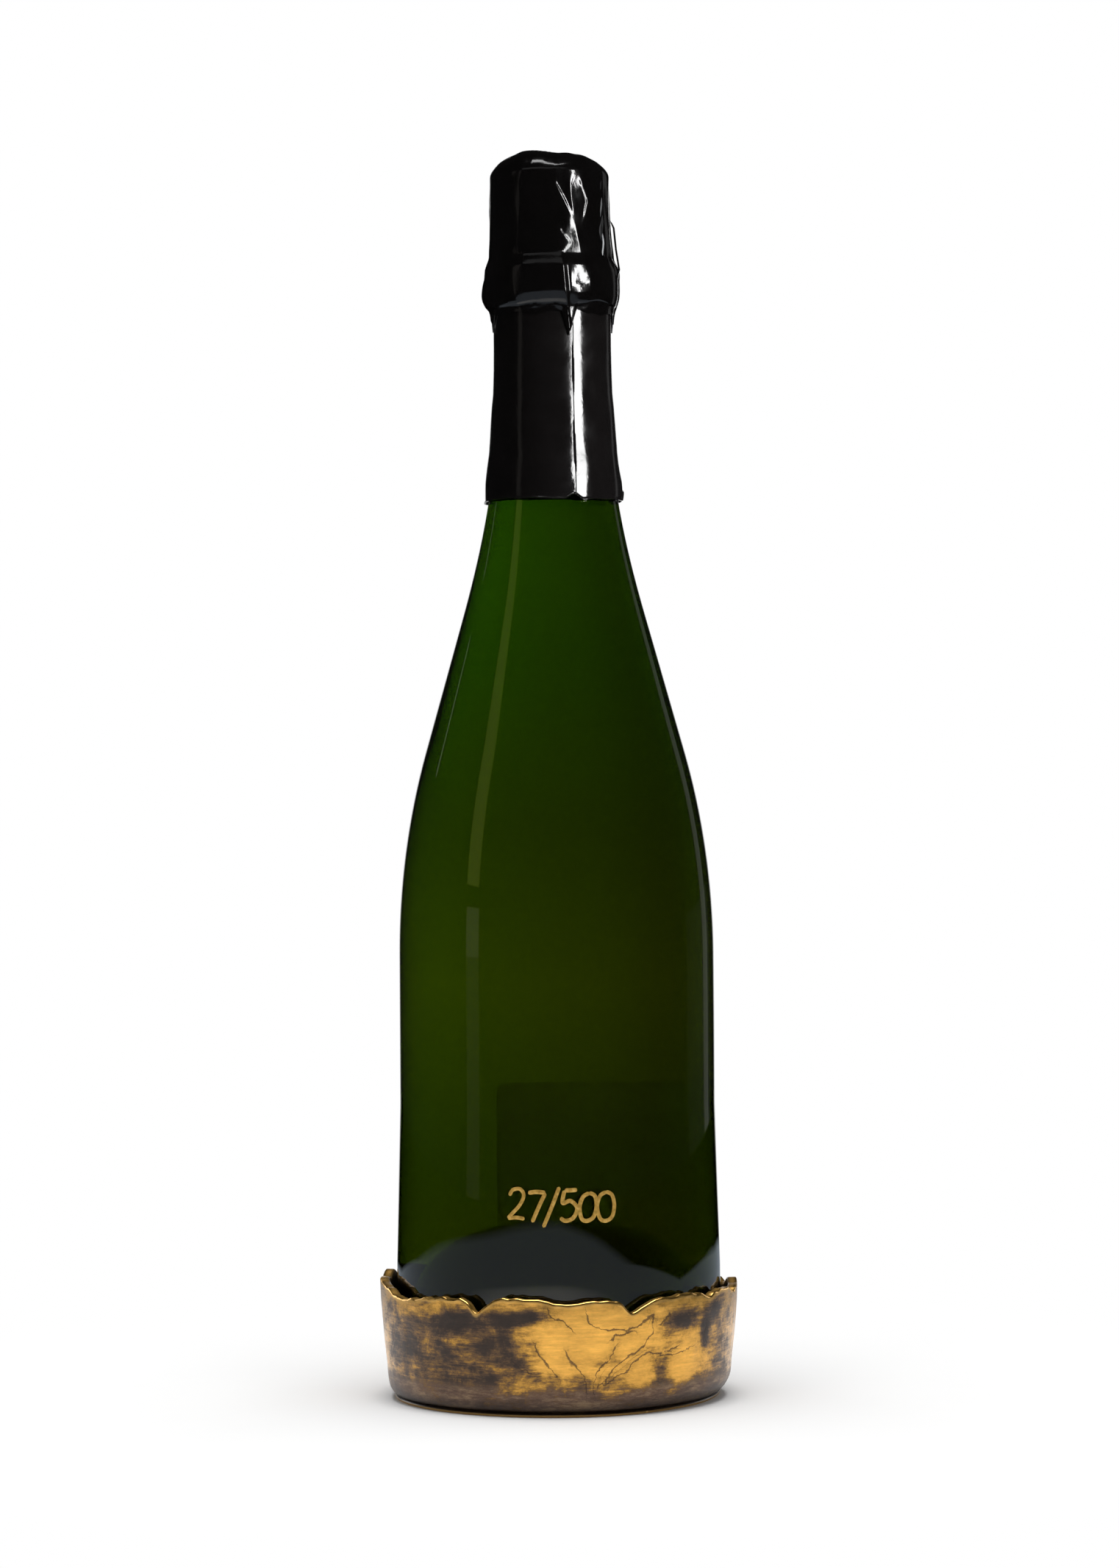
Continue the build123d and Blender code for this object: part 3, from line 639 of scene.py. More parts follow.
class BOTTLE_OT_base(bpy.types.Operator):
    """Make the cast base with its torn rim"""

    bl_idname = "bottle.base"
    bl_label = "Cast base"

    def execute(self, context):
        settings = context.scene.bottle_base
        made = make_base_mesh(settings.jagged)
        material = new_material(cast_brass_patinated, settings)
        settle(made, "base", "cast_brass", material, "base_cup")
        return {"FINISHED"}


# ---- The glass and the wine ----


def make_glass_mesh():
    """The bottle, one closed line turned round the axis: dome, foot, heel, side, neck, ring,
    lip, then the bore and the hollow down to the middle of its floor. The outside of the
    body leaves true round by a few hundredths, as blown glass does."""
    outside = joined(
        drawn((0, 42.5), (36, (13, 42.5), (27, 42.5), (31, 4.5)), (3, (35.9, 4.5))),
        arc((35.9, 12.5), (8, 8), -90, 90, 16),
        drawn((HEEL_RADIUS, 12.5), (8, (HEEL_RADIUS, HEEL_Z))),
        side_line(0, NECK_RADIUS, NECK_Z),
        drawn(
            (NECK_RADIUS, NECK_Z),
            (6, (15.3, 287.3)),
            (8, (15.3, 290.55), (13.8, 290.55), (13.8, 293.8)),
            (2, (13.8, 297)),
            (2, (14.7, 297)),
        ),
        arc((14.7, 298), (1, 1), -90, 90, 5),
        drawn((15.7, 298), (3, (15.7, 305.2)), (3, (13.4, 308)), (2, (13.4, 309.3))),
        drawn((13.4, 309.3), (2, (14, 311.3)), (2, (14, 313.5))),
        arc((12, 313.5), (2, 2), 0, 90, 6),
        drawn((12, MOUTH_Z), (3, (BORE_RADIUS, MOUTH_Z))),
    )
    bore = drawn(
        (BORE_RADIUS, MOUTH_Z), (8, (BORE_RADIUS, 281.5)), (5, HOLLOW_NECK), (1, HOLLOW_NECK)
    )
    line = joined(outside, bore, cavity_line(0)[::-1])
    angle, radius, height = spread(line, 180)
    outer = (np.arange(len(line)) < len(outside))[:, None]
    body = outer * fade(height, 8, 30) * (1 - fade(height, 235, 262)) * fade(radius, 14, 17)
    radius = radius + body * 0.04 * hills(angle, height, 9, 34, 12)
    return piece("bottle_glass", [turned(radius, height, angle)], sharp=35)


def moulded_green_glass(add, place, settings):
    """Dark green soda-lime glass, blown in a mould.

    It gives the eye a deep green with light and shade painted into its colour by height, brighter
    where the glass is narrow, a painted pale glow on the dome under the wine, a hard gloss, and
    reflections that waver a little.
    """
    height = add("SeparateXYZ", [place]).outputs[2]
    # Light and shade painted by height: lighter and darker copies of one green, brightest in the
    # neck.
    share = add("MapRange", (height, 0.02, 0.25))
    stops = tinted(settings.tint, """
        0,0.72,0.64,0.6 0.18,0.6,0.62,0.5 0.4,0.8,0.78,0.45
        0.58,0.62,0.68,0.35 0.78,0.58,0.8,0.35 0.96,0.68,0.96,0.4
    """)
    colour = add("ValToRGB", [share], stops)
    # The dome under the wine is painted pale blue grey: painted light on glass as green as the
    # rest.
    level = add("VectorMath", (place, (1, 1, 0)), operation="MULTIPLY")
    level = add("VectorMath", [level], operation="LENGTH")
    middle = add("Math", (level, 0.034), operation="LESS_THAN")
    under = add("Math", (height, 0.0495), operation="LESS_THAN")
    dome = add("Math", (middle, under), operation="MULTIPLY")
    colour = add("Mix", {0: dome, 6: colour, 7: "#c9d3d8"}, data_type="RGBA")
    waver = add("TexNoise", {"Vector": place, "Scale": 32, "Detail": 1})
    bump = add("Bump", {"Strength": 0.35, "Distance": 0.12 * MM, "Height": waver})
    shader = add("BsdfPrincipled", {
        "Base Color": colour, "Roughness": 0, "IOR": 1.5, "Transmission Weight": 1, "Normal": bump,
    })
    depth = add("VolumeAbsorption", {"Color": "#c0c878", "Density": 260})
    return shader, depth


class BOTTLE_OT_glass(bpy.types.Operator):
    """Make the glass bottle, from the dome in its foot to its lip"""

    bl_idname = "bottle.glass"
    bl_label = "Glass bottle"

    def execute(self, context):
        material = new_material(moulded_green_glass, context.scene.bottle_glass)
        settle(make_glass_mesh(), "bottle", "green_glass", material, "glass_bottle")
        return {"FINISHED"}


def make_wine_mesh():
    """The wine: the hollow's line, a hair into the glass so that no film of air is left
    between them, closed by a level top that creeps 0.9 mm up at the wall over 2.2 mm."""
    side = cavity_line(-0.05)
    neck = side[-NECK_STEPS:]
    top_radius = np.interp(WINE_Z, neck[:, 1], neck[:, 0])
    line = joined(side[side[:, 1] < WINE_Z - 0.5], drawn(
        (top_radius, WINE_Z + 0.9),
        (8, (top_radius - 0.3, WINE_Z), (top_radius - 2.2, WINE_Z)),
        (4, (0, WINE_Z)),
        (1, (0, WINE_Z)),
    ))
    angle, radius, height = spread(line, 144)
    return piece("wine_fill", [turned(radius, height, angle)], sharp=50)


def sparkling_wine(add, place, settings):
    """White sparkling wine, a clear pale liquid with water's bending of light."""
    drift = add("TexNoise", {"Vector": place, "Scale": 22, "Detail": 1})
    pale = tuple(min(1, a * 1.04) for a in settings.wine)
    colour = add("Mix", {0: drift, 6: rgba(settings.wine), 7: rgba(pale)}, data_type="RGBA")
    return add("BsdfPrincipled", {
        "Base Color": colour, "Roughness": 0, "IOR": 1.34, "Transmission Weight": 1,
    })


class BOTTLE_OT_wine(bpy.types.Operator):
    """Make the wine, up to its level in the neck"""

    bl_idname = "bottle.wine"
    bl_label = "Wine"

    def execute(self, context):
        material = new_material(sparkling_wine, context.scene.bottle_glass)
        settle(make_wine_mesh(), "bottle", "wine", material, "wine")
        return {"FINISHED"}


# ---- The painted number ----

# The middle and the foot of the number, half a brush's width, and a digit's and a slash's
# widths in shares of a digit's height.
NUMBER_X, NUMBER_Z, HALF_BRUSH, SIGN_WIDTH, SLASH_WIDTH = 0.6, 51.4, 0.52, 0.62, 0.5

# The hand's play: how far a sign leans and rises in shares of its height, and its size.
HAND = (0.02, 0.09), (-0.04, 0.05), (0.94, 1.05)

# Each sign's brush strokes, parted by semicolons, through points in hundredths of a digit's
# height.
SIGNS = {
    "0": "34,97 12,84 3,48 14,10 34,2 55,16 62,52 53,86 31,98",
    "1": "12,78 30,98 29,50 27,2",
    "2": "6,76 16,95 40,98 53,78 42,48 20,22 4,4; 4,4 32,7 60,3",
    "3": "8,88 30,100 50,80 26,55; 26,55 55,40 46,10 20,0 4,14",
    "4": "40,98 5,36 60,34; 44,60 40,0",
    "5": "54,96 30,95 14,95; 14,95 10,56 34,62 56,40 46,10 22,0 4,10",
    "6": "46,98 16,70 6,30 24,2 50,14 50,42 26,50 8,32",
    "7": "4,93 30,97 60,94; 60,94 42,50 24,0",
    "8": "46,84 26,100 10,80 30,54 54,26 30,0 8,24 30,52 48,82",
    "9": "52,86 28,98 8,76 26,56 50,72 52,40 34,2",
    "/": "0,-20 26,48 50,118",
}


def brush_line(places, count):
    """A smooth line through given points: Catmull-Rom, each run a cubic whose ends lean
    along the chord of its neighbours."""
    p = np.array([places[0], *places, places[-1]])
    t = np.linspace(0, 1, count, endpoint=False)[:, None]
    line = []
    for a, b, c, d in zip(p, p[1:], p[2:], p[3:]):
        bends = (2 * a - 5 * b + 4 * c - d) * t**2 + (3 * b - a - 3 * c + d) * t**3
        line.append(0.5 * (2 * b + (c - a) * t + bends))
    return joined(*line, p[-1])


def make_number_mesh(number, digit_height):
    """The number, each stroke a flat rounded bead carried along its brush line and wrapped on
    the glass: angle = u / r, height = v, standing 0.12 mm off the surface."""
    widths = [SLASH_WIDTH if sign == "/" else SIGN_WIDTH for sign in number]
    left = -sum(widths) / 2
    rng = np.random.default_rng(7)
    grids = []
    for sign, width in zip(number, widths):
        lean, rise, grow = (rng.uniform(*play) for play in HAND)
        for stroke in tables(SIGNS[sign]):
            x, y = brush_line(stroke / 100, 9).T
            u = (left + x * grow + lean * y) * digit_height + NUMBER_X
            z = NUMBER_Z + (y * grow + rise) * digit_height
            grids.append(wrapped_bead(u, z, HALF_BRUSH * rng.uniform(0.88, 1.12)))
        left += width
    return piece("gold_number", grids, sharp=60)


def wrapped_bead(u, z, half_width):
    """One stroke on the glass: its path at r(z), its width along the surface, its height out."""
    radius = glass_radius(z)
    a = -pi / 2 + u / radius
    out = np.stack([np.cos(a), np.sin(a), 0 * a], 1)
    path = np.stack([radius * np.cos(a), radius * np.sin(a), z], 1)
    along = np.gradient(path, axis=0)
    along /= np.linalg.norm(along, axis=1)[:, None]
    across = np.cross(out, along)
    return tube(path + 0.02 * out, half_width, 0.1, across, out, 10, half_width)


def brushed_gold_paint(add, place):
    """Gold brush paint, metal flakes in a clear binder.

    It gives the eye a soft metal gleam, streaked along the brush and a little uneven.
    """
    shades = (0.3, "#a07c30"), (0.52, "#d2a44a"), (0.75, "#ecc772")
    streaks = {"Vector": place, "Scale": 900, "Detail": 4, "Roughness": 0.7}
    return grained(add, streaks, shades, (0.5, 0.34), (0.5, 0.05), {"Metallic": 0.35})


class BOTTLE_OT_number(bpy.types.Operator):
    """Paint the plain edition number on the glass"""

    bl_idname = "bottle.number"
    bl_label = "Painted number"

    def execute(self, context):
        settings = context.scene.bottle_glass
        unknown = set(settings.number) - set(SIGNS)
        if unknown:
            raise ValueError(f"no brush strokes for {sorted(unknown)}")
        made = make_number_mesh(settings.number, settings.number_height / MM)
        settle(made, "bottle", "plaque_steel", new_material(brushed_gold_paint))
        return {"FINISHED"}


# ---- The foil ----

# The sleeve's radius by height, before its folds and its lap, and the height of its top.
SLEEVE = rows("""
    240,18.25 243,18.5 246,18.5 248,18.45 252,18 256,17.45 260,17.15 264,16.95 268,16.7 272,16.3
    278,16.1 284,16 296,16
""")
SLEEVE_TOP = 294.6

# The height that the hood's line ends at, and where its skirt starts to follow the edge.
SKIRT_END, SKIRT_TOP = 287, 295.4

# The hood's four pleats and its tongues: direction, and length in millimetres.
TONGUES = rows("-74,7.2 10,4.6 104,5 -169,4.4")

# Pressed creases of the hood, each through (height, direction, rise) in millimetres and
# degrees, and how far its left and its right flank reach, in degrees.
CREASES = [
    ("329,-85.6,0 327.2,-84.4,0.26 322,-74.5,0.2 318,-68,0", 13, 2.8),
    ("330,-60.5,0 328,-58,0.1 322.9,-50.5,0.24 319,-54,0.16 316,-58,0", 2.6, 12),
    ("316,-81,0 314.2,-80.2,0.22 311.4,-71.5,0.08 308.6,-80.4,0.24 306.4,-80.2,0", 12, 2.4),
    ("309.4,-80.8,0 307,-80.4,0.32 303,-80,0.42 297.5,-78.6,0.42 295.4,-77.4,0", 12, 4.8),
    ("297.6,-77.2,0 295.6,-76.6,0.48 288,-73.6,0.2", 12, 2.4),
    ("332,4,0 324,6,0.35 310,8,0.7 300,9,0.7 290,10,0.4", 6, 12),
    ("332,100,0 322,101,0.5 306,103,0.8 290,104,0.5", 1.2, 13),
    ("332,-166,0 320,-167,0.3 304,-170,0.6 297,-172,0.75 290,-171,0.4", 12, 5),
    ("330,-120,0 322,-118,0.1 312,-123,0.14 306,-121,0", 9, 4),
    ("328,-28,0 318,-31,0.16 309,-26,0.1 303,-30,0", 4, 9),
    ("328,55,0 318,50,0.25 309,58,0.2 303,55,0", 3, 9),
    ("328,150,0 318,146,0.25 309,152,0.2 303,150,0", 3, 9),
]

# Places pressed flat: direction, height, half width in degrees, half height, depth at the middle.
FLATS = rows("""
    -64,301.5,9,3.6,0.2 -61,300.6,8,0.6,0.12 180,298.5,24,4.5,-0.7 -2,305.5,14,2.5,-0.4
    -100,316,16,9,0.3 -38,313,12,8,0.22 30,318,15,8,0.3 125,314,15,9,0.3 -140,320,13,8,0.22
""")


def black_lacquered_foil(add, place, settings):
    """Aluminium foil under black lacquer, drawn and pressed on by hand.

    It gives the eye a deep black with a wet gloss that breaks over fine creases.
    """
    smudge = add("TexNoise", {"Vector": place, "Scale": 160, "Detail": 3})
    rough = add("MapRange", (smudge, 0.35, 0.7, 0.08, 0.18))
    creased = {"Vector": place, "Scale": 320, "Detail": 3, "Roughness": 0.55, "Distortion": 0.6}
    crease = add("TexNoise", creased)
    fold = add("Math", (crease, 0.5), operation="SUBTRACT")
    fold = add("Math", [fold], operation="ABSOLUTE")
    bump = add("Bump", {"Strength": 0.35, "Distance": 0.14 * MM, "Height": fold})
    dark, pale = rgba(settings.colour), rgba(shaded(settings.colour, 1.5))
    colour = add("Mix", {0: smudge, 6: dark, 7: pale}, data_type="RGBA")
    return add("BsdfPrincipled", {
        "Base Color": colour, "Roughness": rough, "IOR": 1.5, "Normal": bump,
    })


def walled(radius, height, thickness, step, pole=False):
    """A sheet's line with its thickness: itself, then drawn in along its normal and back, with
    one row of step. At a pole it starts on the axis."""
    step_r, step_z = np.gradient(radius, axis=0), np.gradient(height, axis=0)
    length = np.hypot(step_r, step_z) + 1e-9
    inner_radius = np.maximum(radius + thickness * step_z / length, 0)
    inner_height = height - thickness * step_r / length
    if pole:
        inner_radius[0] = 0
    back = np.unique([*range(0, len(length), step), len(length) - 1])[::-1]
    return joined(radius, inner_radius[back]), joined(height, inner_height[back])


def sleeve_edge(angle):
    """The sleeve's lower edge: a slow wave, a nick beside the lap, and an ear at the right."""
    edge = 242.6 + 0.3 * np.cos(np.radians(3 * angle + 40))
    edge = edge + 1.3 * beside(angle, -73, 0, 9) + 2.4 * beside(angle, 3, 0, 9)
    return edge + 0.12 * hills(angle, 0 * angle, 60, 1, 21)


def make_sleeve_mesh():
    """The sleeve: z runs from the top to the wavy edge, r follows the neck and flares off it.

    The lap adds a step that is sharp at the seam and dies away over 20 degrees, and the lower
    half has shallow folds that grow towards the edge, which ends in a narrow lip.
    """
    angle = round_axis(540)
    share = np.concatenate([np.linspace(0, 0.97, 84), np.linspace(0.973, 1, 10)])[:, None]
    height = SLEEVE_TOP + share * (sleeve_edge(angle) - SLEEVE_TOP)
    folds = 0.3 * hills(angle, height, 11, 22, 31) + 0.1 * hills(angle, height, 26, 9, 32)
    radius = np.interp(height, *SLEEVE.T) + (1 - fade(height, 246, 270)) * folds
    radius = radius + 0.05 * hills(angle, height, 18, 12, 33)
    radius = radius + 0.6 * beside(angle, 2, 0, 16) * (1 - fade(height, 245, 254))
    behind = apart(angle, -70 + 1.6 * (height - 268) / 50)
    lap = 1 - np.where(behind > 0, fade(behind, 0, 20), fade(behind, 0, -0.6))
    radius = np.maximum(radius + 0.22 * lap, glass_radius(height) + 0.45)
    radius = radius + 0.36 * (1 - fade(height - sleeve_edge(angle), 0, 0.8))
    radius, height = walled(radius, height, thickness=0.3, step=2)
    return piece("neck_foil", [turned(radius, height, angle)], sharp=40, loop=True)


def hood_edge(angle):
    """The hood's lower edge: a slow wave, and a narrow pointed tongue under each pleat."""
    edge = 292.9 + 0.3 * np.cos(np.radians(5 * angle)) + 0.3 * hills(angle, 0 * angle, 40, 1, 41)
    for direction, drop in TONGUES:
        edge = edge - drop * tent(apart(angle, direction), 7, 8) ** 1.1
    return edge


def hood_flap():
    """The thin flap that stands off the hood's right side: a blade carried along its path."""
    level = np.linspace(319, 303.6, 24)
    out = np.interp(level, [303.6, 305.5, 311, 317, 319], [17.7, 18.35, 17.5, 16.9, 16])
    turn = radians(-3)
    path = np.stack([out * cos(turn), out * sin(turn), level], 1)
    across, up = np.array([(cos(turn), sin(turn), 0.1), (-sin(turn), cos(turn), 0)])
    return tube(path, 0.28, 1.6, np.tile(across, (24, 1)), np.tile(up, (24, 1)), 10, 2.6)


def make_hood_mesh(crumple, pleat):
    """The hood: a crown, an angular shoulder, a side that widens to a ledge, a band over the
    glass ring, a turn in under it and a skirt on the neck down to its wavy edge, as r(s), z(s)
    turned round the axis, the cap leaning to one side.

    Each crease adds rise (1 - x / flank)^p on its two flanks, and each flat place takes away
    depth (1 - x^2)(1 - y^2). Wrinkles are hills folded at zero, 1 - 2|n|, so that they meet in
    creases.
    """
    line = drawn(
        (0, 337.2),
        (22, (4, 337.3), (10, 337), (13.6, 334.5)),
        (14, (14.9, 333.4), (16.1, 332.4), (16.3, 330.8)),
        (38, (16.4, 322), (16.3, 316), (16.8, 308.8)),
        (9, (16.95, 307.9), (17.7, 306.6), (17.95, 305.4)),
        (13, (18.2, 303.5), (18.2, 301), (18.1, 298.4)),
        (9, (18, 297.2), (17.3, 295.4), (16.95, 293.9)),
        (16, (16.75, 292.6), (16.65, 291), (16.62, SKIRT_END)),
        (1, (16.62, SKIRT_END)),
    )
    angle, radius, height = spread(line, 600)
    skirt = np.clip((SKIRT_TOP - height) / (SKIRT_TOP - SKIRT_END), 0, 1)
    flat = fade(radius, 1, 9)
    side = fade(line[:, 1:], 335.5, 331)
    slanted = 1 - 2 * np.abs(hills(angle - 1.3 * height, height, 22, 7, 53))
    wrinkle = 1.1 * hills(angle, height, 15, 16, 51) + 0.5 * slanted
    upright = 1 - 2 * np.abs(hills(angle + 0.5 * (height - 310), height, 32, 12, 52))
    wrinkle = wrinkle + 0.5 * upright + 0.12 * hills(angle, height, 70, 3.2, 54)
    band = 1 - 0.5 * fade(height, 312, 306) * fade(height, 293, 298)
    rise = crumple * band * wrinkle - 0.12
    for path, left, right in CREASES:
        levels, directions, stands = rows(path)[::-1].T
        x = apart(angle, np.interp(height, levels, directions))
        stand = pleat * np.interp(height, levels, stands, left=0, right=0)
        rise = rise + stand * tent(x, left, right) ** 1.3
    for direction, level, width, tall, depth in FLATS:
        x, y = apart(angle, direction) / width, (height - level) / tall
        rise = rise - depth * np.clip(1 - x * x, 0, 1) * np.clip(1 - y * y, 0, 1)
    radius = radius + flat * side * rise

    # The crown has a lump left of its middle and dents, and the band's lower edge waves.
    x, y, _ = np.moveaxis(turned(radius, height, angle), 2, 0)
    crown = np.exp(-((x + 4.6) ** 2 + 0.5 * y**2) / 20)
    crown = crown + 0.22 * hills(angle, height, 9, 3, 55) * fade(radius, 2, 8)
    dents = 0.5 * hills(angle, radius, 26, 5, 56) + 0.25 * slanted
    dents = dents * fade(radius, 4, 10) * (1 - fade(radius, 14.5, 16))
    height = height + (1 - side) * (crown + crumple * wrinkle * flat) + 0.45 * dents
    wave = 0.55 * hills(angle, 0 * angle, 17, 1, 57) + 0.9 * beside(angle, -35, 6, 34)
    height = height + fade(height, 291.5, 294.5) * (1 - fade(height, 296, 299.5)) * wave
    height = height + skirt * (hood_edge(angle) - SKIRT_END)
    radius, height = walled(radius, height, thickness=0.28, step=3, pole=True)
    points = turned(radius, height, angle)
    points[:, :, 0] -= 0.6 * fade(height, 301, 322)
    return piece("hood_foil", [points, hood_flap()], sharp=32)


class BOTTLE_OT_foil(bpy.types.Operator):
    """Make the foil sleeve on the neck and the pleated foil hood over cork and cage"""

    bl_idname = "bottle.foil"
    bl_label = "Foil sleeve and hood"

    def execute(self, context):
        settings = context.scene.bottle_foil
        material = new_material(black_lacquered_foil, settings)
        settle(make_sleeve_mesh(), "bottle", "black_foil", material, "foil_sleeve")
        hood = make_hood_mesh(settings.crumple / MM, settings.pleat)
        settle(hood, "hood", "black_foil", material, "foil_hood", "hood_skirt")
        return {"FINISHED"}


# ---- Cork, plaque, wires and label ----


def agglomerated_cork(add, place):
    """Agglomerated cork: granules of 1 to 2 mm pressed and glued, then ground round.

    It gives the eye a patchwork of tan and brown grains with dark glue lines.
    """
    cells = {"Vector": place, "Scale": 620}
    tone = add("SeparateColor", [add("TexVoronoi", cells).outputs["Color"]])
    tans = (0, "#8d6440"), (0.35, "#b58a5c"), (0.75, "#c9a173"), (1, "#6d4a2e")
    colour = add("ValToRGB", [tone], tans)
    gaps = add("TexVoronoi", cells, feature="DISTANCE_TO_EDGE")
    glue = add("MapRange", (gaps, 0.06, 0))
    colour = add("Mix", {0: glue, 6: colour, 7: "#50341f"}, data_type="RGBA")
    fine = add("TexNoise", {"Vector": place, "Scale": 1900, "Detail": 3})
    height = add("Math", (fine, glue), operation="SUBTRACT")
    bump = add("Bump", {"Strength": 0.5, "Distance": 0.15 * MM, "Height": height})
    return add("BsdfPrincipled", {"Base Color": colour, "Roughness": 0.8, "Normal": bump})


def natural_cork(add, place):
    """Natural cork, punched from bark: even tan with growth bands and small dark pores."""
    growth = {"Vector": place, "Scale": 75, "Distortion": 9, "Detail": 3, "Detail Scale": 1.6}
    bands = add("TexWave", growth, bands_direction="X")
    colour = add("ValToRGB", [bands], [(0, "#b98e5f"), (0.6, "#d3ab7c"), (1, "#a87b4d")])
    spots = add("TexVoronoi", {"Vector": place, "Scale": 520, "Randomness": 1})
    pore = add("MapRange", (spots, 0.22, 0.12))
    colour = add("Mix", {0: pore, 6: colour, 7: "#5b3c22"}, data_type="RGBA")
    bump = add("Bump", {"Strength": 0.5, "Distance": 0.2 * MM, "Height": pore}, invert=True)
    return add("BsdfPrincipled", {"Base Color": colour, "Roughness": 0.75, "Normal": bump})


def gold_lacquered_tinplate(add, place):
    """Tinplate pressed to shape under gold lacquer: smooth, glossy, with faint roll lines."""
    stretch = add("Mapping", {"Vector": place, "Scale": (1, 30, 1)})
    shades = (0.3, "#b58a3a"), (0.7, "#cda253")
    lines = {"Vector": stretch, "Scale": 180, "Detail": 3}
    lacquer = {"Metallic": 0.9, "Coat Weight": 0.5, "Coat Roughness": 0.08}
    return grained(add, lines, shades, (0.22, 0.34), (0.2, 0.02), lacquer)


def galvanised_steel_wire(add, place):
    """Drawn steel wire, galvanised: grey metal, slightly cloudy, with faint draw marks."""
    shades = (0.3, "#8f9193"), (0.7, "#bfc1c2")
    clouds = {"Vector": place, "Scale": 700, "Detail": 4}
    return grained(add, clouds, shades, (0.42, 0.24), (0.3, 0.02), {"Metallic": 1})


def uncoated_label_paper(add, place):
    """Uncoated label paper, left blank: off-white, matt, with a fine fibre, and thin enough
    for light to come through."""
    fibre = add("TexNoise", {"Vector": place, "Scale": 1500, "Detail": 5, "Roughness": 0.7})
    tone = add("TexNoise", {"Vector": place, "Scale": 60, "Detail": 2})
    mixed = add("Math", (fibre, tone), operation="MULTIPLY")
    colour = add("ValToRGB", [mixed], [(0.1, "#ebe7dc"), (0.4, "#f6f3ea")])
    bump = add("Bump", {"Strength": 0.4, "Distance": 0.03 * MM, "Height": fibre})
    return add("BsdfPrincipled", {
        "Base Color": colour, "Roughness": 0.9, "Transmission Weight": 0.94, "Normal": bump,
    })


class BOTTLE_OT_stopper(bpy.types.Operator):
    """Give the cork, its discs, the plaque, the wires and the label their materials"""

    bl_idname = "bottle.stopper"
    bl_label = "Cork, cage and label"

    def execute(self, context):
        dress(new_material(agglomerated_cork), "cork_body")
        dress(new_material(natural_cork), "cork_disc_upper", "cork_disc_lower")
        dress(new_material(gold_lacquered_tinplate), "cap_plaque")
        dress(new_material(galvanised_steel_wire), "wire_cage", "cage_belt")
        dress(new_material(uncoated_label_paper), "back_label")
        return {"FINISHED"}


# ---- The stage ----


def seen_through(add, direction, colour):
    """What the glass lets through from behind: dimmer on the left, brighter and greener on the
    right, by the cosine to the right-hand backdrop."""
    aside = add("VectorMath", (direction, (0.6, 0.8, 0)), operation="DOT_PRODUCT")
    toward = add("MapRange", (aside, 0.45, 1))
    stops = tinted(colour, """
        0,0.24,0.24,0.24 0.64,0.38,0.5,0.34 0.86,0.46,0.66,0.38 1,0.66,0.98,0.42
    """)
    ramp = add("ValToRGB", [toward], stops)
    return add("VectorMath", {0: ramp, 3: 2.5}, operation="SCALE")


def matt_white_table(add, place, colour):
    """A matt painted table top, plain, with the faintest mottle."""
    mottle = add("TexNoise", {"Vector": place, "Scale": 30, "Detail": 2})
    shade = rgba(shaded(colour, 0.985))
    mixed = add("Mix", {0: mottle, 6: rgba(colour), 7: shade}, data_type="RGBA")

    # Away from the object the table runs into the white backdrop for the eye and through glass.
    # For mirrors it is white near by, then grey as far as its reach, which is long in front and
    # short behind, less at the front right and more at the back right, then black. Straight
    # behind it stays white.
    rays = add("LightPath").outputs
    away = add("VectorMath", [place], operation="LENGTH")
    direction = add("VectorMath", [place], operation="NORMALIZE")
    across, along = add("SeparateXYZ", [direction]).outputs[:2]
    back = add("MapRange", (along, 0.945, 0.98))
    reach = add("MapRange", (along, 0.8, -1, 0.42, 1.25))
    right = add("MapRange", (across, 0, 1, 0, 0.35))
    nearer = add("MapRange", (along, 0, 1, -1, 1))
    right = add("Math", (right, nearer), operation="MULTIPLY")
    reach = add("Math", (reach, right), operation="ADD")
    reached = add("Math", (away, reach), operation="DIVIDE")
    mirrored = add("ValToRGB", [reached], tinted((1, 1, 1), """
        0,1,1,1 0.26,1,1,1 0.32,0.34,0.38,0.44 0.79,0.33,0.38,0.43 0.87,0,0,0
    """))
    mirrored = add("Mix", {0: back, 6: mirrored, 7: "#ffffff"}, data_type="RGBA")
    through = seen_through(add, direction, colour)
    glossy, transmitted = rays["Is Glossy Ray"], rays["Is Transmission Ray"]
    tone = add("Mix", {0: glossy, 6: rgba(colour), 7: mirrored}, data_type="RGBA")
    tone = add("Mix", {0: transmitted, 6: tone, 7: through}, data_type="RGBA")
    seen = add("Math", (rays["Is Camera Ray"], transmitted), operation="MAXIMUM")
    seen = add("Math", (glossy, seen), operation="MAXIMUM")
    blend = add("MapRange", (away, 0.09, 0.26), interpolation_type="SMOOTHSTEP")
    share = add("Math", (seen, blend), operation="MULTIPLY")
    matt = add("BsdfDiffuse", {"Color": mixed})
    glow = add("Emission", {"Color": tone, "Strength": 1})
    return add("MixShader", (share, matt, glow))


def make_floor(colour):
    """The floor: a round table top of 1200 mm radius just under the base, as rings s r."""
    line = np.array([(1200 * share, -0.02) for share in (1, 0.75, 0.5, 0.25, 0.1, 0)])
    angle, radius, height = spread(line, 240)
    made = piece("floor", [turned(radius, height, angle)], sharp=30, closed=False)
    made.data.materials.append(new_material(matt_white_table, colour))


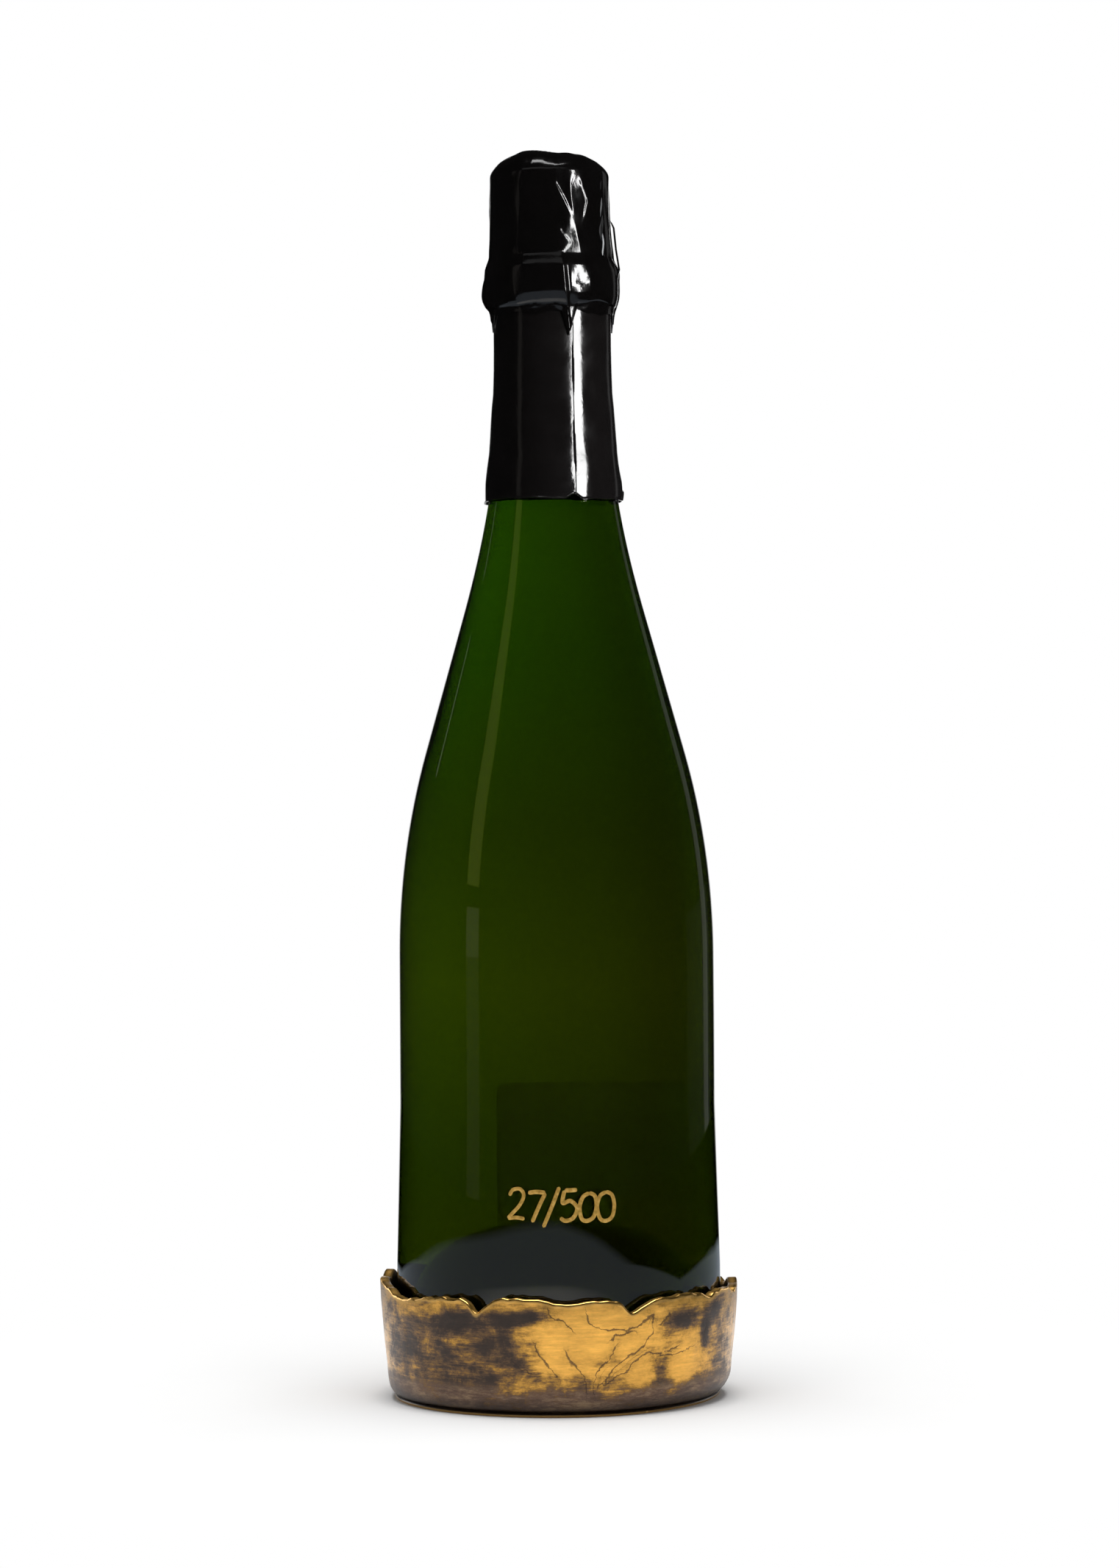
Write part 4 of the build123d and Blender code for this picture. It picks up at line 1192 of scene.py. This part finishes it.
def make_world(colour):
    """The surroundings: white for the camera and through the glass, a white backdrop behind
    and a dim room in front for reflections, and a soft level of light on matt surfaces."""
    world = bpy.data.worlds.new("studio")
    bpy.context.scene.world = world
    add = emptied(world)
    rays = add("LightPath").outputs
    direction = add("TexCoord").outputs["Generated"]
    along = add("SeparateXYZ", [direction]).outputs[1]
    mirrored = add("MapRange", (along, 0.96, 0.982, 0.006, 1))
    level = 0.33
    for ray, value in ("Glossy", mirrored), ("Transmission", 1), ("Camera", 1):
        level = add("Mix", {0: rays[f"Is {ray} Ray"], 2: level, 3: value}, data_type="FLOAT")
    through = seen_through(add, direction, colour)
    by_ray = {0: rays["Is Transmission Ray"], 6: rgba(colour), 7: through}
    light = add("Background", {"Color": add("Mix", by_ray, data_type="RGBA"), "Strength": level})
    add("OutputWorld", {"Surface": light})


def lamp(name, azimuth, elevation, distance, width, height, power, colour=(1, 1, 1), only=()):
    """A soft area lamp: azimuth in degrees to the viewer's right of the viewer's own side,
    elevation over the middle of the bottle, aimed at it. only names the pieces that it lights."""
    a, e = radians(azimuth), radians(elevation)
    away = Vector((sin(a) * cos(e), -cos(a) * cos(e), sin(e)))
    light = bpy.data.lights.new(name, "AREA")
    light.shape, light.size, light.size_y, light.energy = "RECTANGLE", width, height, power
    light.color = colour
    made = bpy.data.objects.new(name, light)
    made.location = Vector((0, 0, 0.16)) + away * distance
    made.rotation_euler = (-away).to_track_quat("-Z", "Y").to_euler()
    bpy.context.scene.collection.objects.link(made)
    if only:
        lit = bpy.data.collections.new("lit_by_" + name)
        for piece_name in only:
            lit.objects.link(bpy.data.objects[piece_name])
        made.light_linking.receiver_collection = lit


class BOTTLE_OT_stage(bpy.types.Operator):
    """Set up the floor, the surroundings, the lamps and the camera"""

    bl_idname = "bottle.stage"
    bl_label = "Stage"

    def execute(self, context):
        settings, scene = context.scene.bottle_stage, context.scene
        make_floor(settings.backdrop)
        make_world(settings.backdrop)
        glass, base, hood, sleeve = ["bottle_glass"], ["cast_base"], ["hood_foil"], ["neck_foil"]
        meshes = [made.name for made in scene.objects if made.type == "MESH"]
        others = [name for name in meshes if name not in hood]
        cage = [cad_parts[name].name for name in ("wire_cage", "cage_belt", "cap_plaque")]
        straw, lime, blush = (1, 0.95, 0.6), (0.88, 1, 0.2), (1, 0.92, 0.85)
        lamp("overhead_softbox", 0, 86, 1.45, 1, 1, settings.lamp, only=others)
        lamp("left_strip_low", -62.5, 0, 1.2, 0.22, 0.15, 0.036, straw, glass)
        lamp("left_strip_foot", -62.5, -5.9, 1.2, 0.22, 0.097, 0.009, straw, glass)
        lamp("left_strip_high", -63.5, 22.1, 1.2, 0.22, 0.66, 0.24, lime, glass)
        lamp("left_strip_foil", -66, 10, 1.2, 0.16, 0.9, 0.07, blush, hood + sleeve)
        lamp("right_rear_strip", 138, 8, 1.2, 0.2, 0.9, 0.08)
        lamp("right_rear_panel", 128, -4.7, 1.2, 0.85, 0.22, 0.014, only=glass)
        lamp("sleeve_strip", 49, 12, 1, 0.48, 0.5, 19, only=sleeve)
        lamp("hood_strip", 48, 16, 1, 0.1, 0.5, 4.4, only=hood)
        lamp("hood_top_softbox", -20, 86, 1.25, 0.6, 0.25, 3, only=hood)
        lamp("left_rear_glint", -122, 16, 1.2, 0.03, 0.12, 0.005, only=glass)
        lamp("foil_fill", -12, 48, 1.2, 1.5, 0.25, 0.35, only=hood)
        lamp("cage_fill", -25, 25, 1.2, 1, 1, 9, only=cage)
        lamp("base_edge_left", -130, 4, 1, 0.5, 0.5, 1.5, only=base)
        lamp("base_edge_right", 130, 4, 1, 0.5, 0.5, 0.9, only=base)

        camera = bpy.data.cameras.new("camera")
        camera.lens, camera.sensor_width, camera.clip_end = 101.3, 36, 100
        made = bpy.data.objects.new("camera", camera)
        made.location = (0.00113, -1.2, 0.166)
        made.rotation_euler = (radians(90), radians(0.39), 0)
        scene.collection.objects.link(made)
        scene.camera = made
        scene.view_settings.view_transform = "Standard"
        return {"FINISHED"}


class BOTTLE_PT_panel(bpy.types.Panel):
    """Lists the bottle's operators and their settings"""

    bl_idname = "BOTTLE_PT_panel"
    bl_label = "Bottle"
    bl_space_type = "VIEW_3D"
    bl_region_type = "UI"
    bl_category = "Bottle"

    def draw(self, context):
        for group in SETTINGS:
            settings = getattr(context.scene, group)
            for name in settings.__annotations__:
                self.layout.prop(settings, name)
        for operator in OPERATORS:
            self.layout.operator(operator.bl_idname)


SETTINGS = {
    "bottle_base": BaseSettings,
    "bottle_glass": GlassSettings,
    "bottle_foil": FoilSettings,
    "bottle_stage": StageSettings,
}
OPERATORS = (
    BOTTLE_OT_base, BOTTLE_OT_glass, BOTTLE_OT_wine, BOTTLE_OT_number, BOTTLE_OT_foil,
    BOTTLE_OT_stopper, BOTTLE_OT_stage,
)
CLASSES = (*SETTINGS.values(), *OPERATORS, BOTTLE_PT_panel)


def register():
    """Register the classes and hang the settings on the scene."""
    for kind in CLASSES:
        bpy.utils.register_class(kind)
    for name, kind in SETTINGS.items():
        setattr(bpy.types.Scene, name, bpy.props.PointerProperty(type=kind))


def unregister():
    """Take the settings and the classes away again."""
    for name in SETTINGS:
        delattr(bpy.types.Scene, name)
    for kind in reversed(CLASSES):
        bpy.utils.unregister_class(kind)


def main():
    """Make every piece in order."""
    register()
    bpy.ops.bottle.base()
    bpy.ops.bottle.glass()
    bpy.ops.bottle.wine()
    bpy.ops.bottle.number()
    bpy.ops.bottle.foil()
    bpy.ops.bottle.stopper()
    bpy.ops.bottle.stage()


if __name__ == "__main__":
    main()
